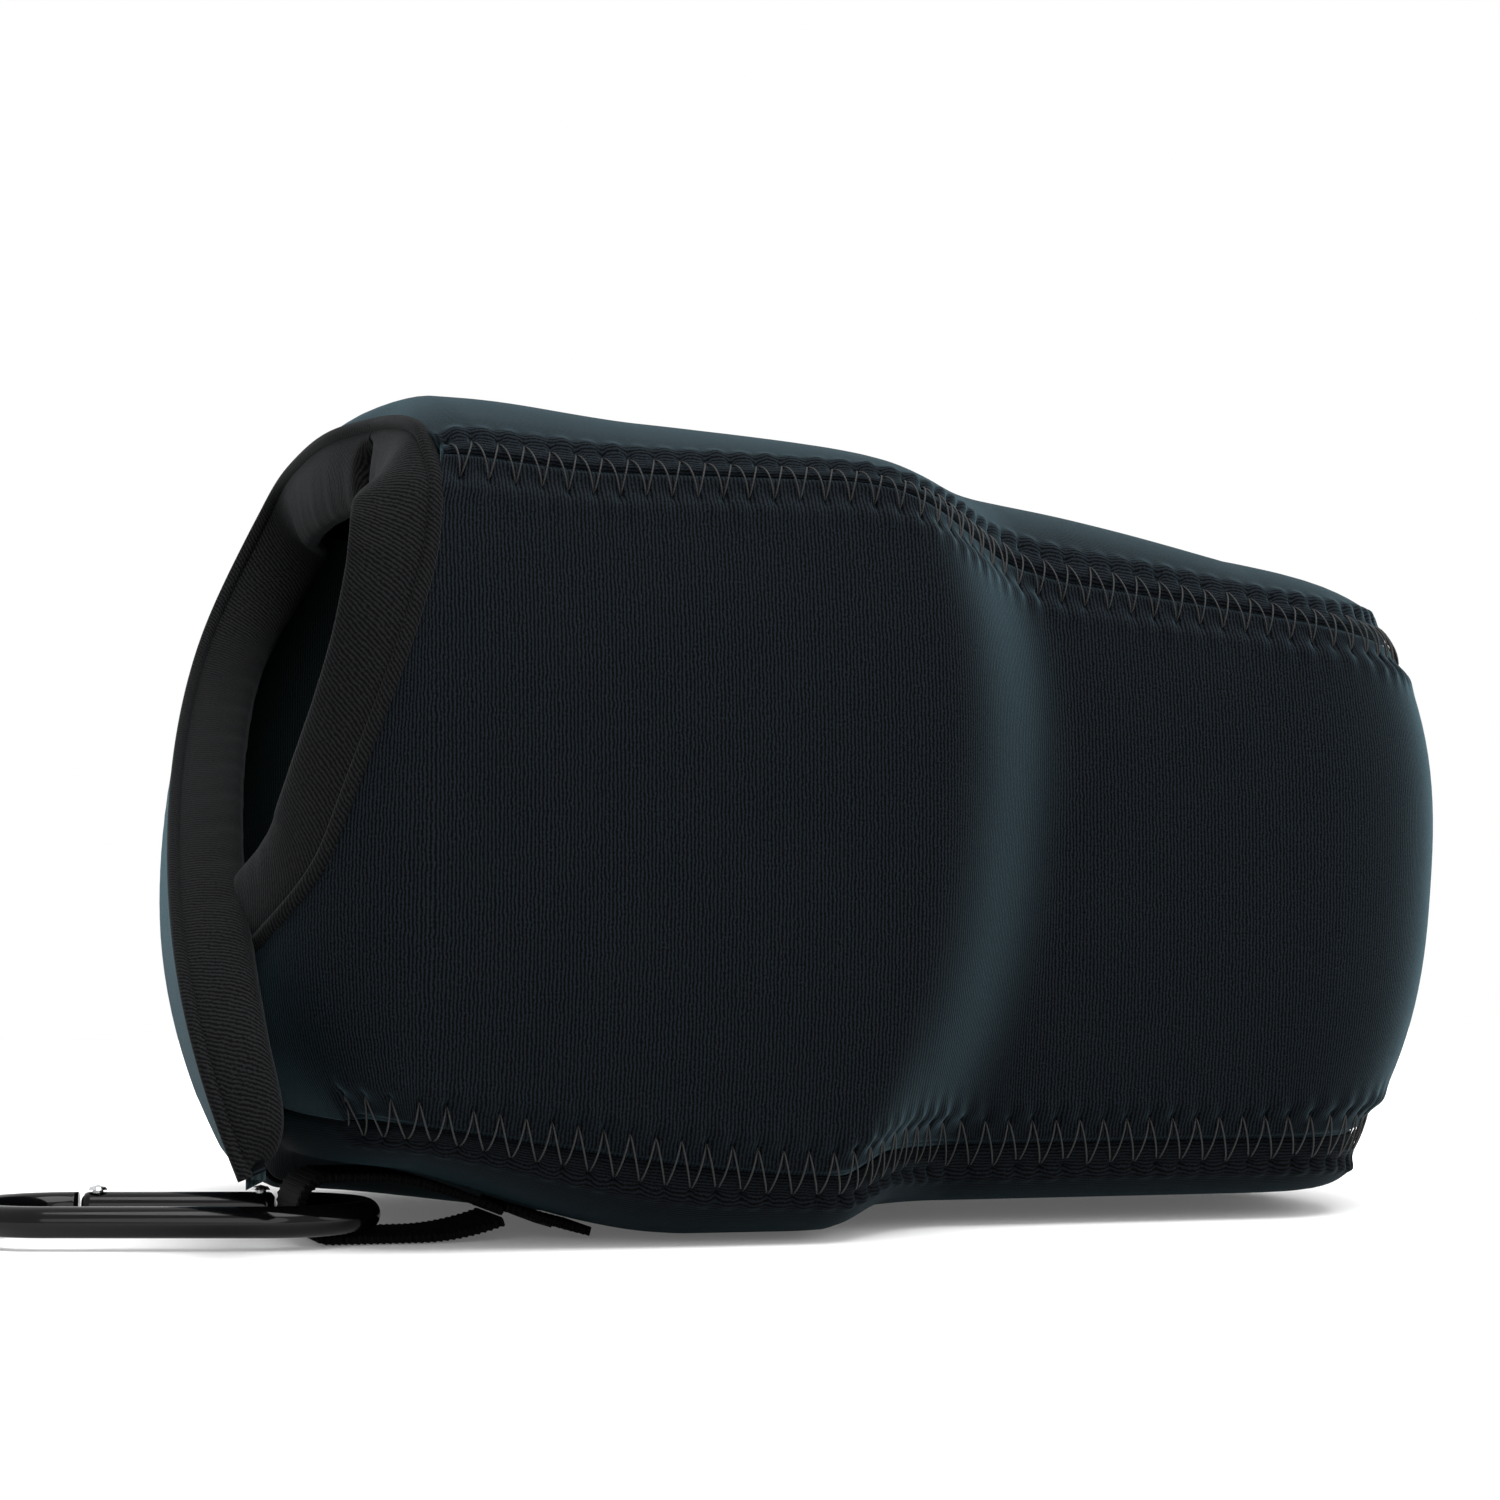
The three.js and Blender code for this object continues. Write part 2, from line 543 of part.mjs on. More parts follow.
function teardrop(inset) {
  const radius = loopEndRadius - inset;
  const pinch = Math.max(WEB_THICK - inset, PINCH);
  const start = WEB_TACK_X - 2 * inset;
  const bottom = inset + GAP / 2;
  const top = LOOP_HEIGHT - inset + GAP / 2;
  const shape = new THREE.Shape();
  shape.moveTo(start, pinchZ + pinch);
  shape.quadraticCurveTo(start - UPPER_KNEE + inset, top, start - UPPER_FLAT + inset, top);
  shape.absarc(loopEndX, loopEndRadius + GAP / 2, radius, Math.PI / 2, (3 * Math.PI) / 2, false);
  shape.lineTo(start - LOWER_FLAT + inset, bottom);
  shape.quadraticCurveTo(start - LOWER_KNEE, bottom, start, pinchZ - pinch);
  return shape;
}

function webbingLoop() {
  const shape = teardrop(0);
  shape.holes.push(teardrop(WEB_THICK));
  return plate(shape, WEB_WIDTH);
}

// Carabiner, drawn flat about the oval's centre with the gate at +Y

class OvalBar extends THREE.Curve {
  // From the pivot end of the gate's gap, round that end, along the spine and round the nose.
  getPoint(t, target = new THREE.Vector3()) {
    const arc = Math.PI * OVAL_RADIUS;
    const s = t * (2 * arc + 2 * OVAL_HALF_STRAIGHT);
    if (s > arc && s < arc + 2 * OVAL_HALF_STRAIGHT) {
      return target.set(OVAL_HALF_STRAIGHT - (s - arc), -OVAL_RADIUS, 0);
    }
    const first = s <= arc;
    const turned = first ? s : s - 2 * OVAL_HALF_STRAIGHT;
    const angle = Math.PI / 2 - turned / OVAL_RADIUS;
    const centre = first ? OVAL_HALF_STRAIGHT : -OVAL_HALF_STRAIGHT;
    return target.set(centre + OVAL_RADIUS * Math.cos(angle), OVAL_RADIUS * Math.sin(angle), 0);
  }
}

const pivotX = OVAL_HALF_STRAIGHT - PIVOT_INSET;
const latchX = -OVAL_HALF_STRAIGHT + LATCH_INSET;
const pinHole = PIN_RADIUS + GAP;

function uprightHole(x) {
  const geometry = new THREE.CylinderGeometry(pinHole, pinHole, 6 * BAR, ROUND_SIDES);
  return solid(geometry.rotateX(Math.PI / 2).translate(x, OVAL_RADIUS, 0));
}

function carabinerFrame() {
  const bar = solid(sweep(new OvalBar(), BAR, BAR_SIDES, BAR_STEPS));
  const tongue = new THREE.Shape();
  tongue.moveTo(OVAL_HALF_STRAIGHT + BAR, OVAL_RADIUS + TONGUE_HALF);
  tongue.absarc(pivotX, OVAL_RADIUS, TONGUE_HALF, Math.PI / 2, (3 * Math.PI) / 2, false);
  tongue.lineTo(OVAL_HALF_STRAIGHT + BAR, OVAL_RADIUS - TONGUE_HALF);
  const nose = new THREE.Shape();
  nose.moveTo(-OVAL_HALF_STRAIGHT - BAR, OVAL_RADIUS + TONGUE_HALF);
  nose.lineTo(-OVAL_HALF_STRAIGHT - BAR, OVAL_RADIUS - TONGUE_HALF);
  nose.lineTo(latchX - pinHole, OVAL_RADIUS - TONGUE_HALF);
  nose.lineTo(latchX - pinHole, OVAL_RADIUS);
  nose.absarc(latchX, OVAL_RADIUS, pinHole, Math.PI, 0, true);
  nose.lineTo(latchX + pinHole, OVAL_RADIUS - TONGUE_HALF);
  nose.lineTo(-OVAL_HALF_STRAIGHT + NOSE_PLATE_LENGTH, OVAL_RADIUS - TONGUE_HALF);
  nose.lineTo(-OVAL_HALF_STRAIGHT + NOSE_PLATE_LENGTH, OVAL_RADIUS + TONGUE_HALF);
  const whole = bar.add(solid(plate(tongue, TONGUE_THICK))).add(solid(plate(nose, TONGUE_THICK)));
  return geometryOf(whole.subtract(uprightHole(pivotX)));
}

// The corners of the gate's pivot end turn about the pivot and stay clear of the frame's end face.
const gateEndX = pivotX + Math.sqrt((PIVOT_INSET - GAP) ** 2 - BAR ** 2);
const pivotSlotX = pivotX - TONGUE_HALF - 2 * GAP - PIN_RADIUS;
const latchSlotX = -OVAL_HALF_STRAIGHT + NOSE_PLATE_LENGTH + 2 * GAP;
const plungerX = pivotX - TONGUE_HALF - GAP; // the plunger's face, against the round end of the tongue
const springX = plungerX - PLUNGER_LENGTH - GAP; // the spring's end, against the plunger

function slot(fromX, toX) {
  const geometry = new THREE.BoxGeometry(toX - fromX, 4 * BAR, 2 * SLOT_HALF);
  return solid(geometry.translate((fromX + toX) / 2, OVAL_RADIUS, 0));
}

function lengthwise(radius, fromX, toX) {
  const geometry = new THREE.CylinderGeometry(radius, radius, toX - fromX, ROUND_SIDES);
  return geometry.rotateZ(Math.PI / 2).translate((fromX + toX) / 2, OVAL_RADIUS, 0);
}

function carabinerGate() {
  const start = new THREE.Vector3(-OVAL_HALF_STRAIGHT + 2 * GAP, OVAL_RADIUS, 0);
  const end = new THREE.Vector3(gateEndX, OVAL_RADIUS, 0);
  const bar = solid(sweep(new THREE.LineCurve3(start, end), BAR, BAR_SIDES, 1));
  const bore = solid(lengthwise(BORE_RADIUS, springX - SPRING_LENGTH - GAP, pivotX));
  return geometryOf(
    bar
      .subtract(slot(pivotSlotX, OVAL_HALF_STRAIGHT))
      .subtract(slot(-OVAL_HALF_STRAIGHT, latchSlotX))
      .subtract(uprightHole(pivotX))
      .subtract(uprightHole(latchX))
      .subtract(bore),
  );
}

function gatePin(x) {
  const head = BAR + GAP;
  const profile = [
    [0, -head - PIN_HEAD_HEIGHT],
    [DOME_RADIUS, -head - DOME_HEIGHT],
    [PIN_HEAD, -head],
    [PIN_RADIUS, -head],
    [PIN_RADIUS, head],
    [PIN_HEAD, head],
    [DOME_RADIUS, head + DOME_HEIGHT],
    [0, head + PIN_HEAD_HEIGHT],
  ].map(([radius, z]) => new THREE.Vector2(radius, z));
  const geometry = new THREE.LatheGeometry(profile, ROUND_SIDES);
  return geometry.rotateX(Math.PI / 2).translate(x, OVAL_RADIUS, 0);
}

class SpringCoil extends THREE.Curve {
  getPoint(t, target = new THREE.Vector3()) {
    const angle = t * SPRING_TURNS * 2 * Math.PI;
    const y = OVAL_RADIUS + SPRING_RADIUS * Math.cos(angle);
    const x = springX - SPRING_WIRE - (SPRING_LENGTH - 2 * SPRING_WIRE) * t;
    return target.set(x, y, SPRING_RADIUS * Math.sin(angle));
  }
}

function gateSpring() {
  return sweep(new SpringCoil(), SPRING_WIRE, SPRING_SIDES, SPRING_TURNS * CURVE_SEGMENTS);
}

function gatePlunger() {
  return lengthwise(SPRING_RADIUS + SPRING_WIRE, plungerX - PLUNGER_LENGTH, plungerX);
}

// Materials and assembly

const neoprene = { color: 0x14161b, roughness: 0.9, metalness: 0 };
const binding = { color: 0x17161a, roughness: 0.95, metalness: 0 };
const thread = { color: 0x2b2b30, roughness: 0.7, metalness: 0 };
const nylon = { color: 0x141416, roughness: 0.8, metalness: 0 };
const blackMetal = { color: 0x0c0c0d, roughness: 0.15, metalness: 0.6 };
const steel = { color: 0xb9bbbe, roughness: 0.3, metalness: 1 };

function piece(name, geometry, look) {
  const mesh = new THREE.Mesh(geometry, new THREE.MeshStandardMaterial(look));
  mesh.name = name;
  return mesh;
}

const pouch = new THREE.Group();
pouch.add(
  piece("near_side_panel", sidePanel(-1), neoprene),
  piece("far_side_panel", sidePanel(1), neoprene),
  piece("top_panel", topPanel(), neoprene),
  piece("bottom_panel", bottomPanel(), neoprene),
  piece("top_near_stitches", stitches(-1, 1, topPoint), thread),
  piece("top_far_stitches", stitches(1, 1, topPoint), thread),
  piece("bottom_near_stitches", stitches(-1, -1, bottomPoint), thread),
  piece("bottom_far_stitches", stitches(1, -1, bottomPoint), thread),
  piece("nose_stitches", noseStitches(), thread),
);

const mouthFrames = mouthRim();
pouch.add(
  piece("mouth_piping", piping(mouthFrames), binding),
  piece("mouth_band", band(mouthFrames, MOUTH_CURL, () => BAND_WIDTH), binding),
);

const nearFrames = flapRim(nearStrip, NEAR_FLAP_TOP, nearStrip.foot + RIM_CLEAR);
const farFrames = flapRim(farStrip, FAR_FLAP_TOP, FAR_FLAP_FOOT);
const tapering = (t) => smooth((t - FOOT_TAPER_START) / (1 - FOOT_TAPER_START));
const footTaper = (t) => BAND_WIDTH * (1 - FOOT_NARROWING * tapering(t));
const flaps = new THREE.Group();
flaps.add(
  piece("near_flap", flap(nearStrip, () => nearStrip.foot), neoprene),
  piece("near_flap_piping", piping(nearFrames), binding),
  piece("near_flap_band", band(nearFrames, NEAR_CURL, () => BAND_WIDTH), binding),
  piece("far_flap", flap(farStrip, farFoot), neoprene),
  piece("far_flap_piping", piping(farFrames), binding),
  piece("far_flap_band", band(farFrames, FAR_CURL, footTaper), binding),
);

const strap = piece("webbing_loop", webbingLoop(), nylon);
strap.rotation.x = Math.PI / 2;
strap.position.y = WEB_Y;

const webbing = new THREE.Group();
webbing.add(
  strap,
  piece("webbing_tail", webbingTail(), nylon),
  piece("webbing_tack", webbingTack(), thread),
);

// The round end of the oval lies in the turned end of the loop, on the lower strand. Where it leaves the
// strap's edges it lies furthest back, by the drop from the tip.
const carabiner = new THREE.Group();
const tipY = WEB_Y - CARABINER_SIDE_SHIFT;
const along = new THREE.Vector2(Math.cos(CARABINER_YAW), Math.sin(CARABINER_YAW));
const ringDrops = steps(90).map((t) => {
  const angle = mix(-Math.PI / 2, Math.PI / 2, t);
  const fromTip = new THREE.Vector2(Math.cos(angle) - 1, Math.sin(angle)).multiplyScalar(OVAL_RADIUS);
  fromTip.rotateAround(new THREE.Vector2(), CARABINER_YAW);
  const inStrap = Math.abs(tipY + fromTip.y - WEB_Y) <= WEB_WIDTH / 2 + BAR;
  return inStrap ? -fromTip.x : 0;
});
const insideEnd = WEB_TACK_X - LOOP_LENGTH + WEB_THICK + BAR + 2 * GAP;
const ovalCentre = along.clone().multiplyScalar(-OVAL_HALF_STRAIGHT - OVAL_RADIUS);
carabiner.rotation.z = CARABINER_YAW;
carabiner.position.set(
  insideEnd + Math.max(...ringDrops) + ovalCentre.x,
  tipY + ovalCentre.y,
  GAP / 2 + WEB_THICK + GAP + BAR,
);
carabiner.add(
  piece("carabiner_frame", carabinerFrame(), blackMetal),
  piece("carabiner_gate", carabinerGate(), blackMetal),
  piece("gate_pivot_pin", gatePin(pivotX), steel),
  piece("gate_latch_pin", gatePin(latchX), steel),
  piece("gate_spring", gateSpring(), steel),
  piece("gate_plunger", gatePlunger(), steel),
);

const cameraCase = new THREE.Group();
cameraCase.add(pouch, flaps, webbing, carabiner);

export default cameraCase;
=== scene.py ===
"""A neoprene camera case: a soft black pouch with sewn seams, bound flaps, a webbing loop and a carabiner.

Lengths are in millimetres until a mesh is made. +X points to the nose, -Y to the near side, +Z up.
"""

import bpy
import numpy as np
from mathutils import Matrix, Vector


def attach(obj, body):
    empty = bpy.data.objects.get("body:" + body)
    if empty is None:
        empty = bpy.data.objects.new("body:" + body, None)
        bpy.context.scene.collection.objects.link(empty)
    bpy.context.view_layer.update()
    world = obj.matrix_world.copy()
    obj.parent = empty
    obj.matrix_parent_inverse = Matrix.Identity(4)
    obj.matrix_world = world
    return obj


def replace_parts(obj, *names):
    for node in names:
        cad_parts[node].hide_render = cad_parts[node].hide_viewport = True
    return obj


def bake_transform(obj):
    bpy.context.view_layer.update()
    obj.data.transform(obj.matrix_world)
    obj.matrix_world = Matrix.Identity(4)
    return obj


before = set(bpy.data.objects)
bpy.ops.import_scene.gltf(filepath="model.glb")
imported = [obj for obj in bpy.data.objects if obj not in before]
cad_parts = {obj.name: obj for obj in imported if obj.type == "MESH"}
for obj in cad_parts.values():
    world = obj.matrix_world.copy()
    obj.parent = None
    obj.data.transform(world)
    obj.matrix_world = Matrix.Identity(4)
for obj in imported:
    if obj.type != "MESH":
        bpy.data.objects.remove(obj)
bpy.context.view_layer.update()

MM = 0.001
WALL = 3.0  # neoprene with a knit face on each side
UP = (0.0, 0.0, 1.0)
DOWN = (0.0, 0.0, -1.0)

# Plan of the pouch, seen from above
SPLIT_X = -62.0  # the side panels end here and the flaps begin
BODY_HALF = 63.0
BODY_SWELL = 5.0
SNOUT_HALF = 43.0
SNOUT_SWELL = 4.0
WAIST_X = 14.0
WAIST_LENGTH = 28.0
WAIST_LEAN = 5.5
WAIST_SWELL = 9.5  # the body bulges forward over the waist
NOSE_X = 72.0
TIP_X = 100.5
TIP_LEAN = 3.5
TIP_SWELL = 9.2
NOSE_POWER = 2.3
SWELL_POWER = 2.6
FAN = 0.35  # rows of the top and bottom fan out round the nose from points this far along it

# Heights
BODY_TOP = 108.0
REAR_TOP = 110.0  # the top seam rises a little to the mouth
REAR_TOP_X = -35.0
SNOUT_TOP = 97.0
SNOUT_TOP_X = 30.0
SNOUT_FALL = 0.13
TOP_FALL_X = -4.0
TOP_FALL_LENGTH = 44.0
BOTTOM_SEAM = 9.3
BOTTOM_SEAM_RISE = 10.0
BOTTOM_SEAM_RUN = 90.0
RIDGE_Z = 117.0  # top of the crown over the origin
RIDGE_FALL = 0.132
RIDGE_BEND = 0.00097
REAR_LIFT = 1.6  # the crown swells a little before the mouth
REAR_LIFT_X = -25.0
REAR_LIFT_RUN = 25.0
RIDGE_DIP = 0.8  # and dips a little over the waist
RIDGE_DIP_X = 28.0
RIDGE_DIP_RUN = 15.0
CROWN_POWER = 2.4
CROWN_SHOULDER = 0.7  # under 1, so that the top leaves its seams steeply
BELLY_RISE = 12.0
BELLY_RISE_X = -20.0
BELLY_RISE_RUN = 55.0
FAR_SAG = 0.6  # share of the rise that is lost beyond the webbing
FAR_SAG_Y = -16.0
FAR_SAG_RUN = 22.0
SNOUT_LIFT = 2.8  # the snout hangs a little over the floor
SNOUT_LIFT_X = -2.0
SNOUT_LIFT_RUN = 12.0
BELLY_POWER = 6.0
BELLY_SHOULDER = 0.55
FLOOR_GAP = 0.02  # the belly rests this much over the floor

# Mouth: the top's rear edge. Shares run across the top, from -1 at the near seam to 1 at the far seam.
MOUTH_REACH = 4.0  # the top reaches this much further back from its middle to its far side
REACH_RUN = 0.45  # which it gains over this share before the middle
FAR_CUT = 5.0  # its far corner is rounded off by this much
FAR_CUT_SHARE = 0.65
FAR_CUT_RUN = 0.25
SEAM_SHARE = 0.85  # both fade out from here to the far seam
SEAM_SHARE_RUN = 0.15
NEAR_DROOP = 5.0  # the top sinks this much at the mouth, more on the far side
FAR_DROOP = 6.5
DROOP_SHARE = -0.4
DROOP_RUN = 7.0
CORNER_CUT = 2.0  # the panels' rear corners at the top seams are rounded off by this much
CORNER_CUT_SHARE = 0.8
CORNER_CUT_SHARE_RUN = 0.2
CUT_RUN = 10.0

# Flaps
CORNER_POWER = 2.2
CORNER_ARC = 1.25
BULGE_Z = 48.0
LEAN_TOP = 14.8
LEAN_TOP_RUN = 60.0
LEAN_FOOT = 12.0
LEAN_FOOT_RUN = 44.0
NEAR_REAR_X = -85.0
NEAR_TUCK = 4.0  # the near flap turns under the rear by this much at its foot
TUCK_Z = 33.0
TUCK_RUN = 15.0
NEAR_CORNER = 32.0
NEAR_FLAP_TOP = 97.0
NEAR_RIM_SLOPE = 0.37  # the near flap's rim leaves the split line slowly
NEAR_SWEEP_Z = 56.0  # and sweeps across the back under this height
NEAR_SWEEP = 85.0
NEAR_SWEEP_RUN = 40.0
NEAR_SWEEP_POWER = 2.0
NEAR_REACH = 74.0
FAR_REAR_X = -89.0
FAR_CORNER = 30.0
FAR_STANDOFF = 0.1
FAR_FLAP_FOOT = 10.0
FAR_FOOT_RUN = 20.0
FAR_RIM_Y = -64.0
FAR_RIM_TOP_Y = 46.0
FAR_RIM_LOW = 22.0
FAR_RIM_HIGH = 105.0
FAR_TOP_CUT = 1.5  # the flap's upper corner is rounded off by this much, from FAR_RIM_TOP upwards
CORNER_RUN = 14.0  # its upper edge is drawn to the top's rear edge over this height
LEAST_FLAP = 0.4
RIM_EDGE = 1.2  # from the panel's edge to the middle of the piping

# Binding round the whole opening. Lengths along it start at the near corner of the mouth.
PIPING_RADIUS = 1.1
PIPING_SIDES = 12
MOUTH_BAND_WIDTH = 12.4
NEAR_BAND_WIDTH = 9.6
NEAR_BAND_RUN = 45.0  # it narrows over this length below the near corner
NEAR_BAND_LEAN = 8.0  # and its free edge leans in by this much, under the far flap
FAR_BAND_WIDTH = 9.8
FAR_TURN = 112.0  # the far corner of the mouth
FAR_TURN_RUN = 18.0
BAND_WALL = 4.6
BAND_SINK = 1.0
BAND_SIDES = 44
BAND_ROUNDNESS = 0.7  # under 1, so that the section is flatter than an oval
BINDING_FACE = (-0.2756, -0.9613, 0.0)  # the bindings lie flat to the near side
MOUTH_HANG = 0.4  # and hang from the mouth's upper edge
NEAR_RIM_TOP = 105.0
NEAR_RIM_FOOT = 22.0
NEAR_RIM_POINTS = 120
FAR_RIM_TOP = 97.0
FAR_RIM_FOOT = 6.0
FAR_RIM_POINTS = 140
NEAR_CORNER_Y = -56.0  # the mouth's upper edge turns down into the flaps between these
FAR_CORNER_Y = 46.0
RIM_STEP = 0.6
NEAR_SOFTENING = 40  # passes that round off the rim's corners
FAR_SOFTENING = 300
EDGE_SOFTENING = 150  # passes that even out the bindings' free edges
HANG_SOFTENING = 60
ACROSS_SOFTENING = 160
PUCKER = 31.0  # the crease where the two bindings meet
CREASE_DEPTH = 4.0
CREASE_RUN = 2.5
BAND_END = 6.0  # length of each binding's rounded end
END_THINNING = 0.9
FOOT_ROUND = 4.0
FOOT_THINNING = 0.98
BAND_FOOT_WIDTH = 8.0
BAND_FOOT_RUN = 36.0
HIDDEN_WIDTH = 3.0  # the near binding is narrow where the far flap covers it
HIDDEN_LENGTH = 20.0
HIDDEN_RUN = 25.0
BAND_WAVE = 0.12
BAND_WAVES = ((1.0, 0.55, 0.0), (0.6, 1.13, 2.0), (0.4, 0.21, 1.0))  # share, radians per millimetre, start

# Shares across a binding, from the piping (0) to its free edge (1)
END_SHARE = 0.15  # the rounded ends begin here
END_SHARE_RUN = 0.3
CREASE_SHARE = 0.25  # and the crease here
CREASE_SHARE_RUN = 0.4
DEEPEST_SHARE = 0.45
DEEPEST_WIDTH = 0.16
EVEN_SHARE = 0.6  # the strip is evened out in full from here

# Seams: zigzag stitches over a butt joint
STITCH_PITCH = 3.7
FIRST_STITCH = 0.8
HALF_STITCH = 0.5  # needle holes on the two sides of a seam are half a stitch apart
TOP_ROW = 2.6  # needle holes to the butt line, on the top panel
BOTTOM_ROW = 1.6
SIDE_ROW = 3.7
NOSE_ROW = 2.5
NOSE_MARGIN = 7.0
NOSE_SEAM_FADE = 2.0
SEWN_FLAP = 14.0  # the near flap's foot is sewn for this much behind the split line
SEAM_FADE = 3.0  # a seam's relief begins over this length
TOP_SEAM_FADE = 1.0
SEAM_START = 0.5  # the thread starts this much in front of the split line
SEAM_LAP = 1.5  # the side panels' inner edges reach this much past the butt line
SEAM_DEPTH = 0.9  # the stitched strip lies this much under the panel's face
GROOVE_WIDTH = 0.16  # widths and places are in shares of the distance from the holes to the butt line
HOLE_DEPTH = 0.8
HOLE_WIDTH = 0.26
HOLE_SHARPNESS = 6
LOBE_HEIGHT = 0.4  # the foam bulges this much between needle holes
LOBE_PLACE = 1.45
LOBE_WIDTH = 0.45
SEAM_WAVES = ((0.25, 0.31, 1.0), (0.15, 0.83, 0.0))  # share, radians per millimetre, start
THREAD_RADIUS = 0.15
THREAD_SINK = 0.45  # the thread is drawn this much under the panels' faces at the butt line
THREAD_ARCH = 0.5  # each stitch arches up by this much from its ends
THREAD_DIP = 0.3  # which lie this deep in the needle holes
THREAD_ARCH_POWER = 0.25
THREAD_SIDES = 7
STITCH_STEPS = 10

# Webbing under the rear
WEB_WIDTH = 18.0
WEB_THICK = 1.3
WEB_COLUMNS = 41
WEB_EDGE_THINNING = 0.4
WEB_EDGE_POWER = 30
BRAID_PITCH = 0.9  # along the webbing's edges
BRAID_HEIGHT = 0.2
BRAID_POWER = 16
WEB_Y = -34.0
WEB_TACK_X = -47.0
WEB_TAIL_LENGTH = 12.5
WEB_TAIL_START = 0.3
WEB_TAIL_ROWS = 90
WEB_GAP = 0.2  # between the belly and the webbing
WEB_FLOOR_GAP = 0.05
LOOP_LENGTH = 29.5
LOOP_HEIGHT = 10.0
LOOP_LIFT = 0.15
LOOP_ROWS = 480
TURN_POINTS = 32
LOWER_POINTS = 30
UPPER_POINTS = 40
LOWER_STRAND = 12.0  # behind the sewn line the lower strand is down on the floor
UPPER_STRAND = 19.0  # and the upper strand up to the turn's height
PINCH_Z = 3.6
PINCH_HALF = 0.7  # from the middle of the pinched strands to each of them
TACK_X = -41.0
TACK_LENGTH = 2.4
TACK_WIDTH = 15.0
TACK_PITCH = 0.5

# Carabiner
BAR = 2.2
BAR_SIDES = 28
BAR_POINTS = 60
OVAL_RADIUS = 13.0
OVAL_HALF_STRAIGHT = 14.8
PIVOT_GAP = 0.6  # between the gate's ends and the frame's
LATCH_GAP = 1.25
GATE_CHAMFER = 0.8
GATE_THINNING = 0.35
CARABINER_AT = (-92.73, -30.337, 3.95)
CARABINER_YAW = np.radians(-16)


def mix(a, b, t):
    """From a to b as t goes from 0 to 1."""
    return a + (b - a) * t


def smooth(t):
    """An S-curve: 0 below 0, 1 above 1, level at both ends."""
    t = np.clip(t, 0, 1)
    return t * t * (3 - 2 * t)


def rise(value, start, run):
    """An S-curve that is 0 at start and 1 one run further on. A negative run goes downwards."""
    return smooth((value - start) / run)


def bump(x, centre, width):
    """A bell-shaped bump of height 1."""
    return np.exp(-(((x - centre) / width) ** 2))


def waves(s, parts):
    """A sum of sine waves along s, each with its height, radians per millimetre and start."""
    return sum(height * np.sin(turn * s + start) for height, turn, start in parts)


def unit(vectors):
    """The same directions with length 1."""
    return vectors / np.maximum(np.linalg.norm(vectors, axis=-1, keepdims=True), 1e-9)


def along(points):
    """Distance along a row of points, from the first."""
    gaps = np.linalg.norm(np.diff(points, axis=0), axis=1)
    return np.concatenate([[0], np.cumsum(gaps)])


def stack(x, y, z):
    """Points from three arrays that fit each other's shape."""
    return np.stack(np.broadcast_arrays(x, y, z), axis=-1).astype(float)


def pairs(u, v):
    """Texture coordinates from two arrays that fit each other's shape."""
    return stack(u, v, 0)[..., :2]


def looked_up(at, keys, points):
    """Points between those of a row, found by a key that grows along it."""
    return np.stack([np.interp(at, keys, points[:, n]) for n in range(points.shape[1])], -1)


# Meshes from grids of points


def grid_quads(rows, columns, wrap=False):
    """Corner indices of the cells of a grid, whose columns close on themselves if wrap is set."""
    cells = columns if wrap else columns - 1
    i, j = np.meshgrid(np.arange(rows - 1), np.arange(cells), indexing="ij")
    k = (j + 1) % columns
    corners = [i * columns + j, (i + 1) * columns + j, (i + 1) * columns + k, i * columns + k]
    return np.stack(corners, -1).reshape(-1, 4)


def facing_out(points, quads):
    """The quads of a closed mesh, turned round if the volume that they enclose comes out negative."""
    a, b, c, d = (points[quads[:, n]] for n in range(4))
    volume = np.einsum("ij,ij->", a, np.cross(b, c)) + np.einsum("ij,ij->", a, np.cross(c, d))
    return quads if volume > 0 else quads[:, ::-1]


def add_object(name, data):
    """An object of the scene with its mesh, light or camera."""
    thing = bpy.data.objects.new(name, data)
    bpy.context.scene.collection.objects.link(thing)
    return thing


def make_piece(name, points, quads, uv, material):
    """A smooth mesh of quads with one texture coordinate, in millimetres, for each point."""
    mesh = bpy.data.meshes.new(name)
    quads = facing_out(points, quads)
    mesh.from_pydata((points * MM).tolist(), [], quads.tolist())
    mesh.polygons.foreach_set("use_smooth", np.ones(len(quads), bool))
    layer = mesh.uv_layers.new(name="millimetres")
    layer.data.foreach_set("uv", uv[quads.ravel()].astype(np.float32).ravel())
    mesh.materials.append(material)
    return add_object(name, mesh)


def shell(name, outer, inner, uv, material, lining=None):
    """A closed sheet between two grids of points of the same shape, with a lining on its inner face."""
    rows, columns = outer.shape[:2]
    count = rows * columns
    faces = grid_quads(rows, columns)
    index = np.arange(count).reshape(rows, columns)
    border = np.concatenate([index[0, :], index[1:, -1], index[-1, -2::-1], index[-2:0:-1, 0]])
    after = np.roll(border, -1)
    rim = np.stack([border, after, after + count, border + count], -1)
    quads = np.concatenate([faces, faces[:, ::-1] + count, rim])
    points = np.concatenate([outer.reshape(-1, 3), inner.reshape(-1, 3)])
    flat = uv.reshape(-1, 2)
    piece = make_piece(name, points, quads, np.concatenate([flat, flat]), material)
    if lining:
        piece.data.materials.append(lining)
        inside = np.arange(len(quads)) // len(faces) == 1
        piece.data.polygons.foreach_set("material_index", inside.astype(np.int32))
    return piece


